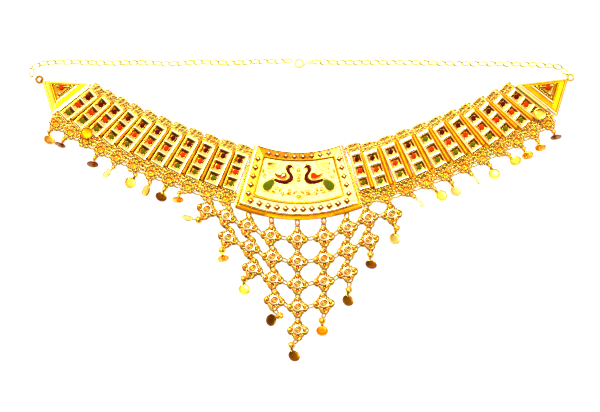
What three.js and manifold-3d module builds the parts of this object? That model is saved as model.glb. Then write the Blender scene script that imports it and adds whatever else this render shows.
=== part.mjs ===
// Gold choker necklace with enamelled bar links, laid out on a flat surface.
// Millimetres, +Z up, +X to the wearer's left, +Y towards the back chain.
// The surface is z = 0. Soldered metal is one mesh; separate links keep a small gap.
import * as THREE from 'three';
import { mergeVertices } from 'three/addons/utils/BufferGeometryUtils.js';
import Module from 'manifold-3d';

const wasm = await Module();
wasm.setup();

// ---------------------------------------------------------------- driving dimensions
const freeGap = 0.3;              // between pieces that only hook into each other
const solderBite = 0.4;           // how far soldered pieces run into each other
const barCount = 11;              // on each wing

// The two wings. The first link lies close to the plaque. The others run on from the second
// link's place: heading of the wing, distance from link to link and lean of the bars from +Y,
// each at the plaque end and at the tip end. The last link's flank is wider, beside the end cap.
// An end cap is a triangle: its edge lies along the last bar and reaches below the bar's middle,
// reach is from that edge out to the tip and tipAlong is from the lower corner to the tip's height.
const wings = [
  {
    name: 'left', side: -1, firstPlace: [-24.5, 12.9], firstTop: 5.0,
    secondPlace: [-31.1, 14.9], heading: [18.5, 30.5], step: [7.2, 5.95], lean: [20, 50],
    lastFlank: 1.25, cap: { edge: 19.4, below: 10.2, reach: 13.3, tipAlong: 5.5 },
  },
  {
    name: 'right', side: 1, firstPlace: [22.8, 13.3], firstTop: 4.0,
    secondPlace: [29.0, 13.9], heading: [19.1, 29.1], step: [7.7, 6.35], lean: [15, 50],
    lastFlank: 1.85, cap: { edge: 19.5, below: 12, reach: 14.4, tipAlong: 6 },
  },
];

// A bar has an upright inner side, towards the plaque, and a sloping outer flank that reaches
// the next bar.
const bar = {
  top: [5.3, 4.1],                // width of the top, of the second link and of the one at the tip
  roll: [2, 5],                   // degrees that the outer edge is raised
  length: 14.9,
  height: 2.4,
  innerBevel: 0.25,
  innerWall: 1.9,
  flankMost: 1.6,                 // widest that the outer flank gets
  flankFoot: 1.1,                 // height at which the flank starts
  wellPitch: 4.7,
  wellLength: 3.6,
  wellRim: 0.5,                   // metal left beside a well
  wellFloor: 1.3,
  wellDepth: 0.9,
};
const neckFlower = {
  radius: 2.15, notch: 0.3, petals: 4, thickness: 1.5, bossRadius: 0.8, bossHeight: 2.0,
};
const rosette = {
  radius: 2.35, notch: 0.45, petals: 6, thickness: 1.3, bossRadius: 1.3, bossHeight: 1.9,
};
const bossTaper = 0.7;            // width of a boss at its top, of that at its foot
const rosetteReach = 11.2;        // from the middle of a bar to the middle of its rosette
const strap = { width: 2.2, height: 1.0 };   // from a bar's lower end to its rosette

const plaque = {
  x: -0.5,
  topY: 23.6,                     // upper corners
  bottomY: 0.6,                   // lower corners
  topWidth: 32.6,
  bottomWidth: 44.9,
  topSag: 2.9,
  bottomSag: 4.6,
  height: 3.0,
  flangeHeight: 1.1,
  flangeSides: [0.7, 1.7],        // at the upper and the lower corners
  flangeBottom: 1.5,
  flangeTop: 0.3,
};
const field = {                   // sunk field inside the plaque's border
  topY: 18.3,
  bottomY: 4.1,
  topWidth: 25.9,
  bottomWidth: 33.2,
  topSag: 1.5,
  bottomSag: 3.0,
  depth: 0.7,
};
const endPlate = {                // of both end caps
  thickness: 1.9,
  pocketScale: 0.55,
  pocketShift: 1.6,
  pocketDepth: 0.7,
};
const tipRing = { radius: 1.7, hole: 0.8, thickness: 1.2, bite: 0.5 };

// Lattice columns, each from its top tile down. Turn is the tiles' turn from the +Y axis.
const tile = { tip: 3.55, waist: 2.55, thickness: 1.2, cupRadius: 1.6, cupTaper: 0.85, cupHeight: 1.8 };
const columns = [
  { name: 'm4', x: -35.3, y: -1.6, pitch: 8.4, drift: 0, tiles: 1, turn: -22 },
  { name: 'm3', x: -27.9, y: -4.2, pitch: 8.3, drift: 0.7, tiles: 2, turn: -22 },
  { name: 'm2', x: -19.9, y: -7.9, pitch: 8.2, drift: 1.0, tiles: 3, turn: -16 },
  { name: 'm1', x: -11.0, y: -11.6, pitch: 8.3, drift: 0.45, tiles: 4, turn: -8 },
  { name: 'centre', x: -1.0, y: -12.9, pitch: 8.7, drift: 0.05, tiles: 5, turn: 0 },
  { name: 'p1', x: 9.1, y: -12.1, pitch: 8.5, drift: -0.05, tiles: 4, turn: 6 },
  { name: 'p2', x: 18.0, y: -8.7, pitch: 8.55, drift: -0.1, tiles: 3, turn: 14 },
  { name: 'p3', x: 25.8, y: -4.8, pitch: 8.6, drift: 0.2, tiles: 2, turn: 16 },
  { name: 'p4', x: 34.8, y: -3.4, pitch: 8.6, drift: 0, tiles: 1, turn: 8 },
];
const jumpRing = {
  width: 1.9,                     // down a column and from the wing to the bib
  hookWidth: 1.5,                 // from link to link, and on the drops
  sideWidth: 1.4,                 // from column to column
  wire: 0.55,
  thickness: 0.8,
  z: 0.25,                        // underside above the surface
  length: 2.1,
  bite: 0.2,                      // of a ring into the next of the same run
  leastHole: 0.25,
};

// Drops: the ring and bead swing to one side, the coin hangs on at a bend, and the coin
// is pitched up along the drop and rolled about it. Angles in degrees from straight down.
const drop = {
  wingRing: 0.3,                  // reach of the ring, from the hook point to the bead
  wingBead: 1.0,
  latticeBead: 1.5,
  coin: 2.3,
  coinThickness: 0.45,
  coinSides: 8,
  stem: 0.2,                      // between the bead and the coin's rim
  stemBite: 0.4,                  // of the stem into the coin
  stemWidth: 0.7,
  stemHeight: 0.9,
};
const latticeDrops = [
  { ring: 0.9, swing: -58, bend: -100, pitch: 0, roll: 76 },
  { ring: 0.9, swing: -30, bend: 12, pitch: 48, roll: 0 },
  { ring: 1.2, swing: -65, bend: 4, pitch: 20, roll: 0 },
  { ring: 2.4, swing: 45, bend: -66, pitch: 25, roll: 25 },
  { ring: 2.1, swing: -42, bend: 14, pitch: 15, roll: 25 },
  { ring: 2.2, swing: -16, bend: 0, pitch: 30, roll: 0 },
  { ring: 2.3, swing: -3, bend: -6, pitch: 20, roll: 20 },
  { ring: 1.3, swing: -5, bend: 2, pitch: 35, roll: 15 },
  { ring: 1.3, swing: 29, bend: -12, pitch: 15, roll: 15 },
];
const wingDrops = {
  left: [
    { link: 3, swing: -52, bend: -8, pitch: 50, roll: 0 },
    { link: 4, swing: -24, bend: -22, pitch: 35, roll: 10 },
    { link: 5, swing: -4, bend: -22, pitch: 0, roll: 62 },
    { link: 6, swing: 14, bend: -36, pitch: 15, roll: 0 },
    { link: 7, swing: -16, bend: -42, pitch: 0, roll: 76 },
    { link: 8, swing: -32, bend: -14, pitch: 50, roll: 0 },
    { link: 10, swing: -40, bend: -26, pitch: 62, roll: 0 },
    { link: 11, swing: -40, bend: -12, pitch: 32, roll: 15 },
  ],
  right: [
    { link: 3, swing: 48, bend: 40, pitch: 0, roll: 62 },
    { link: 4, swing: 50, bend: 46, pitch: 10, roll: 10 },
    { link: 5, swing: 34, bend: 24, pitch: 20, roll: 20 },
    { link: 6, swing: 40, bend: 36, pitch: 0, roll: 70 },
    { link: 7, swing: 44, bend: 24, pitch: 15, roll: 0 },
    { link: 8, swing: 58, bend: 46, pitch: 30, roll: 10 },
    { link: 9, swing: 40, bend: 26, pitch: 40, roll: 0 },
    { link: 10, swing: 26, bend: 16, pitch: 45, roll: 0 },
    { link: 11, swing: 28, bend: 16, pitch: 58, roll: 0 },
  ],
};

// Two coins have turned back and lie on the lower end of a bar: place in the bar's own frame.
const turnedCoins = [
  { wing: 'left', link: 9, outwards: 1.6, y: -8.6 },
  { wing: 'right', link: 11, outwards: 0.2, y: -6.4 },
];

// The back chain's two halves: width of the links and route of their middle line on the surface.
const chain = { width: 2.4, stepLength: 5.2, sides: 8 };
const chainLeftRoute = [
  [-103.2, 51.2], [-103.4, 53.2], [-101.4, 55.1], [-97.6, 56.3], [-87, 56.6], [-74.5, 56.2], [-61, 56.4],
  [-49.4, 55.9], [-39, 56.6], [-27, 56.2], [-17.7, 56.7], [-7.6, 56.9], [-3.6, 57.1],
];
const chainRightRoute = [
  [5.05, 56.6], [19, 56.4], [42, 56.4], [60, 56.0], [80, 55.8], [90, 55.6], [94.9, 55.1],
  [99.6, 54.6], [102.75, 52.05],
];
const clasp = {
  ringX: -0.3,
  ringY: 56.1,
  ringRadius: 2.0,
  ringHole: 1.1,
  hookLength: 3.4,
  hookRise: 0.4,                  // the hook's far end lies this much nearer the back
  hookWidth: 1.6,
  height: 1.4,
};

// ---------------------------------------------------------------- colours
const gold = new THREE.Color(0.95, 0.66, 0.12);
const paleGold = new THREE.Color(0.96, 0.86, 0.42);

function goldMaterial() {
  return new THREE.MeshStandardMaterial({ color: gold, metalness: 1, roughness: 0.22 });
}

function chainMaterial() {
  return new THREE.MeshStandardMaterial({ color: paleGold, metalness: 1, roughness: 0.28 });
}

// ---------------------------------------------------------------- solid helpers
const weldDistance = 1e-4;
const cutterRise = 0.2;           // a cutter stands this far out of the metal
const degrees = THREE.MathUtils.degToRad;
const blend = (range, t) => THREE.MathUtils.lerp(range[0], range[1], t);

function solid(geometry) {
  const plain = geometry.clone();
  plain.deleteAttribute('normal');
  plain.deleteAttribute('uv');
  const merged = mergeVertices(plain, weldDistance);
  return new wasm.Manifold(new wasm.Mesh({
    numProp: 3,
    vertProperties: new Float32Array(merged.attributes.position.array),
    triVerts: new Uint32Array(merged.index.array),
  }));
}

function join(solids) {
  return solids.reduce((whole, piece) => whole.add(piece));
}

function mesh(name, body, material) {
  const { vertProperties, triVerts } = body.getMesh();
  const geometry = new THREE.BufferGeometry();
  geometry.setAttribute('position', new THREE.BufferAttribute(new Float32Array(vertProperties), 3));
  geometry.setIndex(new THREE.BufferAttribute(new Uint32Array(triVerts), 1));
  geometry.computeVertexNormals();
  const result = new THREE.Mesh(geometry, material);
  result.name = name;
  return result;
}

// A flat plate with the given outline, from z = low to z = high.
function plate(points, low, high) {
  const settings = { depth: high - low, bevelEnabled: false };
  return new THREE.ExtrudeGeometry(new THREE.Shape(points), settings).translate(0, 0, low);
}

// A flat round ring on the surface.
function flatRing(centre, radius, hole, thickness) {
  const shape = new THREE.Shape().absarc(centre.x, centre.y, radius, 0, 2 * Math.PI);
  shape.holes.push(new THREE.Path().absarc(centre.x, centre.y, hole, 0, 2 * Math.PI));
  const settings = { depth: thickness, bevelEnabled: false, curveSegments: 5 };
  return solid(new THREE.ExtrudeGeometry(shape, settings));
}

// A six-sided boss that stands on the surface and narrows towards its top.
function boss(radius, taper, height) {
  const geometry = new THREE.CylinderGeometry(radius * taper, radius, height, 6);
  return geometry.rotateX(Math.PI / 2).translate(0, 0, height / 2);
}

// Outline of a flower whose radius swings between tip and waist, with its first petal on +Y.
function flowerOutline(tip, waist, petals, pointsPerPetal = 2) {
  const points = [];
  for (let i = 0; i < petals * pointsPerPetal; i += 1) {
    const swing = Math.cos((2 * Math.PI * i) / pointsPerPetal);
    const radius = (tip + waist) / 2 + ((tip - waist) / 2) * swing;
    const angle = Math.PI / 2 + (2 * Math.PI * i) / (petals * pointsPerPetal);
    points.push(new THREE.Vector2(radius * Math.cos(angle), radius * Math.sin(angle)));
  }
  return points;
}

function flower(shape) {
  const outline = flowerOutline(shape.radius, shape.radius - shape.notch, shape.petals);
  const middle = boss(shape.bossRadius, bossTaper, shape.bossHeight);
  return solid(plate(outline, 0, shape.thickness)).add(solid(middle));
}

// A flat oval wire ring between two points.
function ringBetween(start, end, width = jumpRing.width) {
  const length = start.distanceTo(end);
  const outline = (halfLength, halfWidth, count) => {
    const points = [];
    for (let i = 0; i < count; i += 1) {
      const angle = (2 * Math.PI * (i + 0.5)) / count;
      points.push(new THREE.Vector2(halfLength * Math.cos(angle), halfWidth * Math.sin(angle)));
    }
    return points;
  };
  const corner = 1 / Math.cos(Math.PI / 6);
  const shape = new THREE.Shape(outline((length / 2) * corner, width / 2, 6));
  const holeLength = Math.max(length / 2 - jumpRing.wire, jumpRing.leastHole);
  shape.holes.push(new THREE.Path(outline(holeLength, width / 2 - jumpRing.wire, 4)));
  const geometry = new THREE.ExtrudeGeometry(shape, { depth: jumpRing.thickness, bevelEnabled: false });
  geometry.rotateZ(Math.atan2(end.y - start.y, end.x - start.x));
  return solid(geometry.translate((start.x + end.x) / 2, (start.y + end.y) / 2, jumpRing.z));
}

// A run of rings from start to end, each biting a little into the next.
function ringRun(start, end) {
  const length = start.distanceTo(end);
  const count = Math.max(1, Math.round(length / jumpRing.length));
  const rings = [];
  for (let i = 0; i < count; i += 1) {
    const from = start.clone().lerp(end, i / count);
    const to = start.clone().lerp(end, (i + 1) / count);
    const bite = to.clone().sub(from).setLength(i < count - 1 ? jumpRing.bite : 0);
    rings.push(ringBetween(from, to.add(bite)));
  }
  return join(rings);
}

// ---------------------------------------------------------------- bar links
// The feet are how far the outer foot lies from the middle line at the neck end and at the
// lower end.
function barBody(side, top, feet) {
  const half = top / 2;
  const inner = half + bar.innerBevel;
  const section = new THREE.Shape([
    new THREE.Vector2(-side * inner, 0),
    new THREE.Vector2(side * feet[0], 0),
    new THREE.Vector2(side * feet[0], bar.flankFoot),
    new THREE.Vector2(side * half, bar.height),
    new THREE.Vector2(-side * half, bar.height),
    new THREE.Vector2(-side * inner, bar.innerWall),
  ]);
  const block = new THREE.ExtrudeGeometry(section, { depth: bar.length, bevelEnabled: false });
  block.rotateX(Math.PI / 2).translate(0, bar.length / 2, 0);
  const corners = block.attributes.position;
  for (let i = 0; i < corners.count; i += 1) {
    const outerFoot = side * corners.getX(i) > half + weldDistance;
    if (outerFoot && corners.getY(i) < 0) corners.setX(i, side * feet[1]);
  }
  let body = solid(block);
  const wellWidth = top - 2 * bar.wellRim;
  const cutterDepth = bar.wellDepth + cutterRise;
  const stretch = cutterDepth / bar.wellDepth;
  const floorRatio = bar.wellFloor / bar.wellLength;
  for (const place of [-1, 0, 1]) {
    // A four-sided cone of unit width, turned so that its sides run along x and y.
    const well = new THREE.CylinderGeometry(Math.SQRT1_2, Math.SQRT1_2 * floorRatio, 1, 4);
    well.rotateY(Math.PI / 4).rotateX(Math.PI / 2);
    well.scale(wellWidth * stretch, bar.wellLength * stretch, cutterDepth);
    well.translate(0, place * bar.wellPitch, bar.height - bar.wellDepth + cutterDepth / 2);
    body = body.subtract(solid(well));
  }
  return body;
}

// Where each link of a wing stands: index 0 is next to the plaque.
function wingPlaces(wing) {
  const places = [];
  let [x, y] = wing.firstPlace;
  for (let i = 0; i < barCount; i += 1) {
    const t = i / (barCount - 1);
    const top = i === 0 ? wing.firstTop : blend(bar.top, t);
    const roll = degrees(blend(bar.roll, t));
    const lean = degrees(blend(wing.lean, t));
    const innermost = Math.max(top / 2 + bar.innerBevel, rosette.radius);
    const frame = new THREE.Matrix4().makeTranslation(x, y, innermost * Math.sin(roll));
    frame.multiply(new THREE.Matrix4().makeRotationZ(wing.side * lean));
    frame.multiply(new THREE.Matrix4().makeRotationY(-wing.side * roll));
    places.push({ frame, top });
    const between = (i - 1) / (barCount - 3);
    const heading = degrees(blend(wing.heading, between));
    const step = blend(wing.step, between);
    x += wing.side * step * Math.cos(heading);
    y += step * Math.sin(heading);
    if (i === 0) [x, y] = wing.secondPlace;
  }
  return places;
}

// The outer foot at a bar's neck end and lower end stops short of the next bar's inner foot.
function outerFeet(side, place, next, lastFlank) {
  if (!next) return [1, 1].map(() => place.top / 2 + lastFlank);
  const inner = -side * (next.top / 2 + bar.innerBevel);
  const toOwn = place.frame.clone().invert().multiply(next.frame);
  const [upper, lower] = [1, -1].map(
    (end) => new THREE.Vector3(inner, (end * bar.length) / 2, 0).applyMatrix4(toOwn),
  );
  return [1, -1].map((end) => {
    const along = ((end * bar.length) / 2 - lower.y) / (upper.y - lower.y);
    const room = side * THREE.MathUtils.lerp(lower.x, upper.x, along) - freeGap;
    return Math.min(place.top / 2 + bar.flankMost, room);
  });
}

const flowerY = bar.length / 2 + neckFlower.radius - solderBite;
const flat = (v) => new THREE.Vector2(v.x, v.y);

// The ring that hooks a link's flower or rosette into that of the next link.
function hookRing(place, next, localY, shape) {
  const target = new THREE.Vector3(0, localY, 0).applyMatrix4(next.frame);
  target.applyMatrix4(place.frame.clone().invert());
  const own = new THREE.Vector2(0, localY);
  const away = flat(target).sub(own);
  const start = away.clone().setLength(shape.radius - shape.notch - solderBite).add(own);
  const end = away.clone().setLength(away.length() - shape.radius - freeGap).add(own);
  return ringBetween(start, end, jumpRing.hookWidth);
}

function barLink({ side, lastFlank }, place, next) {
  const parts = [barBody(side, place.top, outerFeet(side, place, next, lastFlank))];
  parts.push(flower(neckFlower).translate(0, flowerY, 0));
  parts.push(flower(rosette).translate(0, -rosetteReach, 0));
  const strapTop = -bar.length / 2 + solderBite;
  const strapFoot = -rosetteReach + rosette.radius - 2 * solderBite;
  const strapBody = new THREE.BoxGeometry(strap.width, strapTop - strapFoot, strap.height);
  strapBody.translate(0, (strapTop + strapFoot) / 2, strap.height / 2);
  parts.push(solid(strapBody));
  if (next) {
    parts.push(hookRing(place, next, flowerY, neckFlower));
    parts.push(hookRing(place, next, -rosetteReach, rosette));
  }
  return join(parts);
}

// ---------------------------------------------------------------- plaque
// A curved trapezoid: both long edges are arcs that hang down in the middle.
function curvedTrapezoid(shape, growSides = [0, 0], growTop = 0, growBottom = 0) {
  const arcSteps = 10;
  const points = [];
  for (let i = 0; i <= arcSteps; i += 1) {
    const across = (2 * i) / arcSteps - 1;
    const y = shape.bottomY - growBottom - shape.bottomSag * (1 - across * across);
    points.push(new THREE.Vector2(across * (shape.bottomWidth / 2 + growSides[1]), y));
  }
  for (let i = arcSteps; i >= 0; i -= 1) {
    const across = (2 * i) / arcSteps - 1;
    const y = shape.topY + growTop - shape.topSag * (1 - across * across);
    points.push(new THREE.Vector2(across * (shape.topWidth / 2 + growSides[0]), y));
  }
  return points;
}

function plaqueBody() {
  const body = solid(plate(curvedTrapezoid(plaque), 0, plaque.height));
  const { flangeSides, flangeTop, flangeBottom } = plaque;
  const flangeOutline = curvedTrapezoid(plaque, flangeSides, flangeTop, flangeBottom);
  const flange = solid(plate(flangeOutline, 0, plaque.flangeHeight));
  const fieldFloor = plaque.height - field.depth;
  const pocket = plate(curvedTrapezoid(field), fieldFloor, plaque.height + cutterRise);
  return body.add(flange).subtract(solid(pocket));
}

// ---------------------------------------------------------------- end caps
// A triangle beside the last link: its long edge runs along the bar and its tip points out.
function endCap({ side, cap, lastFlank }, lastTop) {
  const edgeX = lastTop / 2 + lastFlank + freeGap;
  const bottom = new THREE.Vector2(edgeX, -cap.below);
  const top = new THREE.Vector2(edgeX, cap.edge - cap.below);
  const tip = new THREE.Vector2(edgeX + cap.reach, cap.tipAlong - cap.below);
  const corners = [bottom, tip, top];
  const middle = bottom.clone().add(top).add(tip).divideScalar(3);
  const pocket = corners.map((corner) => {
    const point = corner.clone().lerp(middle, endPlate.pocketScale);
    return point.setX(point.x + endPlate.pocketShift);
  });
  const mirrored = (points) => points.map((point) => new THREE.Vector2(side * point.x, point.y));
  const outward = tip.clone().sub(middle).setLength(tipRing.radius - tipRing.bite);
  const [ringCentre] = mirrored([tip.clone().add(outward)]);
  const body = solid(plate(mirrored(corners), 0, endPlate.thickness));
  const pocketFloor = endPlate.thickness - endPlate.pocketDepth;
  const cut = solid(plate(mirrored(pocket), pocketFloor, endPlate.thickness + cutterRise));
  const ring = flatRing(ringCentre, tipRing.radius, tipRing.hole, tipRing.thickness);
  return body.subtract(cut).add(ring);
}

// ---------------------------------------------------------------- drops
const below = (angle, length) => new THREE.Vector2(Math.sin(angle) * length, -Math.cos(angle) * length);

function coinDisc() {
  const disc = new THREE.CylinderGeometry(drop.coin, drop.coin, drop.coinThickness, drop.coinSides);
  return disc.rotateX(Math.PI / 2);
}

// A jump ring from the hook point, then a bead, then a coin with its rim on the surface.
function dropSolid(hook, pose, ringReach, beadRadius) {
  const swing = degrees(pose.swing);
  const bend = degrees(pose.bend);
  const beadCentre = hook.clone().add(below(swing, ringReach + beadRadius));
  const ringEnd = hook.clone().add(below(swing, ringReach + solderBite));
  const ring = ringBetween(hook, ringEnd, jumpRing.hookWidth);
  const bead = new THREE.SphereGeometry(beadRadius, 6, 4);
  bead.rotateX(Math.PI / 2).translate(beadCentre.x, beadCentre.y, beadRadius);
  const pitch = degrees(pose.pitch);
  const coin = coinDisc().rotateX(-pitch).rotateY(degrees(pose.roll)).rotateZ(bend);
  coin.computeBoundingBox();
  const coinReach = beadRadius + drop.stem + drop.coin * Math.cos(pitch);
  const coinCentre = beadCentre.clone().add(below(bend, coinReach));
  const coinZ = -coin.boundingBox.min.z;
  coin.translate(coinCentre.x, coinCentre.y, coinZ);
  const stemLength = drop.stem + beadRadius + drop.stemBite;
  const stem = new THREE.BoxGeometry(drop.stemWidth, stemLength, drop.stemHeight);
  const stemMiddle = beadCentre.clone().add(below(bend, beadRadius / 2 + stemLength / 2));
  stem.rotateZ(bend).translate(stemMiddle.x, stemMiddle.y, (beadRadius + coinZ) / 2);
  return join([ring, solid(bead), solid(coin), solid(stem)]);
}

// A coin lying on the bar, with the stem that comes up to it from the rosette.
function turnedCoin(side, pose) {
  const coinFoot = bar.height + freeGap;
  const coin = coinDisc().translate(side * pose.outwards, pose.y, coinFoot + drop.coinThickness / 2);
  const stemFoot = rosette.thickness + freeGap;
  const stemTop = coinFoot + drop.coinThickness / 2;
  const stem = new THREE.BoxGeometry(drop.stemWidth, drop.stemHeight, stemTop - stemFoot);
  stem.translate(side * pose.outwards, pose.y - drop.coin, (stemFoot + stemTop) / 2);
  return solid(coin).add(solid(stem));
}

// ---------------------------------------------------------------- lattice columns
function tilePlaces(column) {
  const places = [];
  for (let i = 0; i < column.tiles; i += 1) {
    places.push(new THREE.Vector2(column.x + i * column.drift, column.y - i * column.pitch));
  }
  return places;
}

function tileSolid(centre, turn) {
  const petals = plate(flowerOutline(tile.tip, tile.waist, 4, 4), 0, tile.thickness);
  const cup = boss(tile.cupRadius, tile.cupTaper, tile.cupHeight);
  const placed = (geometry) => solid(geometry.rotateZ(degrees(turn)).translate(centre.x, centre.y, 0));
  return placed(petals).add(placed(cup));
}

// The point of a tile's tip in quarter turn number q, counted from +Y towards -X.
function tipOf(centre, turn, q, inset = 0) {
  const angle = degrees(turn) + (Math.PI / 2) * (q + 1);
  const reach = tile.tip - inset;
  return new THREE.Vector2(centre.x + reach * Math.cos(angle), centre.y + reach * Math.sin(angle));
}

// A column hangs from the point above it. Its tiles also hook into the next column inwards.
function latticeColumn(column, hanger, inner, inwards, pose) {
  const places = tilePlaces(column);
  const parts = places.map((centre) => tileSolid(centre, column.turn));
  const topTip = tipOf(places[0], column.turn, 0);
  const hangerPoint = hanger.clone().add(topTip.clone().sub(hanger).setLength(freeGap));
  parts.push(ringRun(hangerPoint, tipOf(places[0], column.turn, 0, solderBite)));
  for (let i = 1; i < places.length; i += 1) {
    const from = tipOf(places[i - 1], column.turn, 2, solderBite);
    parts.push(ringBetween(from, tipOf(places[i], column.turn, 0, solderBite)));
  }
  if (inner) {
    const innerPlaces = tilePlaces(inner);
    places.forEach((centre, i) => {
      const from = tipOf(centre, column.turn, inwards > 0 ? 3 : 1, solderBite);
      const to = tipOf(innerPlaces[i], inner.turn, inwards > 0 ? 1 : 3);
      to.add(from.clone().sub(to).setLength(freeGap));
      parts.push(ringBetween(from, to, jumpRing.sideWidth));
    });
  }
  const last = places[places.length - 1];
  const foot = tipOf(last, column.turn, 2, solderBite);
  parts.push(dropSolid(foot, pose, pose.ring, drop.latticeBead));
  return join(parts);
}

// ---------------------------------------------------------------- chain and clasp
function tube(route) {
  const points = route.map(([x, y]) => new THREE.Vector3(x, y, chain.width / 2));
  const curve = new THREE.CatmullRomCurve3(points);
  const section = [];
  const radius = chain.width / 2 / Math.cos(Math.PI / chain.sides);
  for (let i = 0; i < chain.sides; i += 1) {
    const angle = (2 * Math.PI * (i + 0.5)) / chain.sides;
    section.push(new THREE.Vector2(radius * Math.cos(angle), radius * Math.sin(angle)));
  }
  const steps = Math.round(curve.getLength() / chain.stepLength);
  const settings = { extrudePath: curve, steps, bevelEnabled: false };
  return solid(new THREE.ExtrudeGeometry(new THREE.Shape(section), settings));
}

// A closed ring on the left half of the chain and the S-shaped hook that goes through it.
function claspSolid() {
  const centre = new THREE.Vector2(clasp.ringX, clasp.ringY);
  const start = new THREE.Vector2(clasp.ringX + clasp.ringRadius - solderBite, clasp.ringY);
  const end = new THREE.Vector2(start.x + clasp.hookLength, clasp.ringY + clasp.hookRise);
  const ring = flatRing(centre, clasp.ringRadius, clasp.ringHole, clasp.height);
  return ring.add(ringBetween(start, end, clasp.hookWidth));
}

// ---------------------------------------------------------------- the necklace
const necklace = new THREE.Group();

function add(name, body, material = goldMaterial(), frame = null) {
  const piece = mesh(name, body, material);
  if (frame) piece.applyMatrix4(frame);
  necklace.add(piece);
}

const twoDigits = (number) => String(number).padStart(2, '0');
const rosetteCentre = (place) => flat(new THREE.Vector3(0, -rosetteReach, 0).applyMatrix4(place.frame));

add('plaque', plaqueBody(), goldMaterial(), new THREE.Matrix4().makeTranslation(plaque.x, 0, 0));

const rosettes = {};
for (const wing of wings) {
  const places = wingPlaces(wing);
  rosettes[wing.name] = places.map(rosetteCentre);
  places.forEach((place, i) => {
    const name = `link_${wing.name}_${twoDigits(i + 1)}`;
    add(name, barLink(wing, place, places[i + 1]), goldMaterial(), place.frame);
  });
  const last = places[barCount - 1];
  const level = new THREE.Matrix4().makeRotationZ(wing.side * degrees(wing.lean[1]));
  level.setPosition(last.frame.elements[12], last.frame.elements[13], 0);
  add(`end_cap_${wing.name}`, endCap(wing, last.top), goldMaterial(), level);
  for (const pose of wingDrops[wing.name]) {
    const hookAway = below(degrees(pose.swing), rosette.radius + freeGap);
    const hook = rosettes[wing.name][pose.link - 1].clone().add(hookAway);
    const name = `drop_${wing.name}_${twoDigits(pose.link)}`;
    add(name, dropSolid(hook, pose, drop.wingRing, drop.wingBead));
  }
  for (const pose of turnedCoins.filter((coin) => coin.wing === wing.name)) {
    const { frame } = places[pose.link - 1];
    add(`turned_coin_${wing.name}`, turnedCoin(wing.side, pose), goldMaterial(), frame);
  }
}

// The point just below the plaque's lower edge from which a column hangs.
function plaqueEdge(x) {
  const across = (x - plaque.x) / (plaque.bottomWidth / 2 + plaque.flangeSides[1]);
  const edgeY = plaque.bottomY - plaque.flangeBottom - plaque.bottomSag * (1 - across * across);
  return new THREE.Vector2(x, edgeY - freeGap);
}

const middleColumn = (columns.length - 1) / 2;
columns.forEach((column, i) => {
  const inwards = Math.sign(middleColumn - i);
  const inner = inwards === 0 ? null : columns[i + inwards];
  const fromOutside = Math.min(i, columns.length - 1 - i);
  let hanger = plaqueEdge(column.x);
  if (fromOutside < 2) {
    // The two outer columns on each side hang from the rosettes of the second and first links.
    const centre = rosettes[inwards > 0 ? 'left' : 'right'][1 - fromOutside];
    const tip = tipOf(new THREE.Vector2(column.x, column.y), column.turn, 0);
    hanger = centre.clone().add(tip.sub(centre).setLength(rosette.radius));
  }
  add(`lattice_${column.name}`, latticeColumn(column, hanger, inner, inwards, latticeDrops[i]));
});

add('chain_left', tube(chainLeftRoute), chainMaterial());
add('chain_right', tube(chainRightRoute), chainMaterial());
add('clasp', claspSolid(), chainMaterial());

// The origin is on the surface, under the middle of the whole necklace.
const extent = new THREE.Box3().setFromObject(necklace, true);
const middle = extent.getCenter(new THREE.Vector3());
necklace.position.set(-middle.x, -middle.y, -extent.min.z);

export default necklace;
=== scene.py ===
import math

import bmesh
import bpy
import numpy as np
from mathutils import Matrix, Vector


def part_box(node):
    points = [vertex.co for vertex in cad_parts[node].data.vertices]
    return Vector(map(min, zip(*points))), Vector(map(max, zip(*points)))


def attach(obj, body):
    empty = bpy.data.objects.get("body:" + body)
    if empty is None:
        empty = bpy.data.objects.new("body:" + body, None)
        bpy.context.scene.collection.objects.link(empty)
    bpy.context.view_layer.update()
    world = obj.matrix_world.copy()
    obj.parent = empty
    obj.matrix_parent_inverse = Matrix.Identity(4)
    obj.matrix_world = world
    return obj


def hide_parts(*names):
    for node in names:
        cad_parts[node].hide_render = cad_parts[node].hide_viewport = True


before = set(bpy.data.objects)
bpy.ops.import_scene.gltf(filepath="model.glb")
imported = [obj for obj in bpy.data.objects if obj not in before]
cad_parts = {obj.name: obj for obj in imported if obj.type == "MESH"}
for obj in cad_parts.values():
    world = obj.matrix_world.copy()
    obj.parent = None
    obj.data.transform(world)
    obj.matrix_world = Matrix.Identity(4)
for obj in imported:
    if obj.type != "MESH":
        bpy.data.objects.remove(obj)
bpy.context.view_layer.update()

# ---------------------------------------------------------------- bars of the wings
# Each wing is a row of eleven bars of sheet gold. A bar is a block with three sunk windows, drawn
# rods between them and a rolled band over its sloping outer flank, all soldered together.

MM = 0.001
BAR_LENGTH = 14.9
BAR_HEIGHT = 2.4
BAR_WALL = 1.9                 # height of the upright inner wall
BAR_BEVEL = 0.25               # the inner wall stands this far out from the top
FLANK_FOOT = 1.1
FLANK_LAP = 0.55               # the flank's lip closes the gap to the next bar
BAND_HEIGHT = 1.8              # of the middle of the rolled band
WINDOW_PITCH = 4.7
WINDOW_LIP = 0.06              # width of the rounded lip round a window
LIP_HEIGHT = 2.24
WINDOW_FLOOR = 1.5             # height of a window's floor
DOT_X = 0.15
# The number of a face's gold finish. The third to sixth finishes paint light into the gold: a
# pale cream gold as painted highlight, a dark brown gold as painted shade, a redder amber gold as
# painted half-shade, and a matte sanded gold that is the real sandblasted ground and also paints
# lit faces. The finishes themselves are made further down.
POLISHED, WORKED, PAINTED_HIGHLIGHT, PAINTED_SHADE, AMBER_HALF_SHADE, SANDED_AND_LIT, LEMON = range(7)
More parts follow.
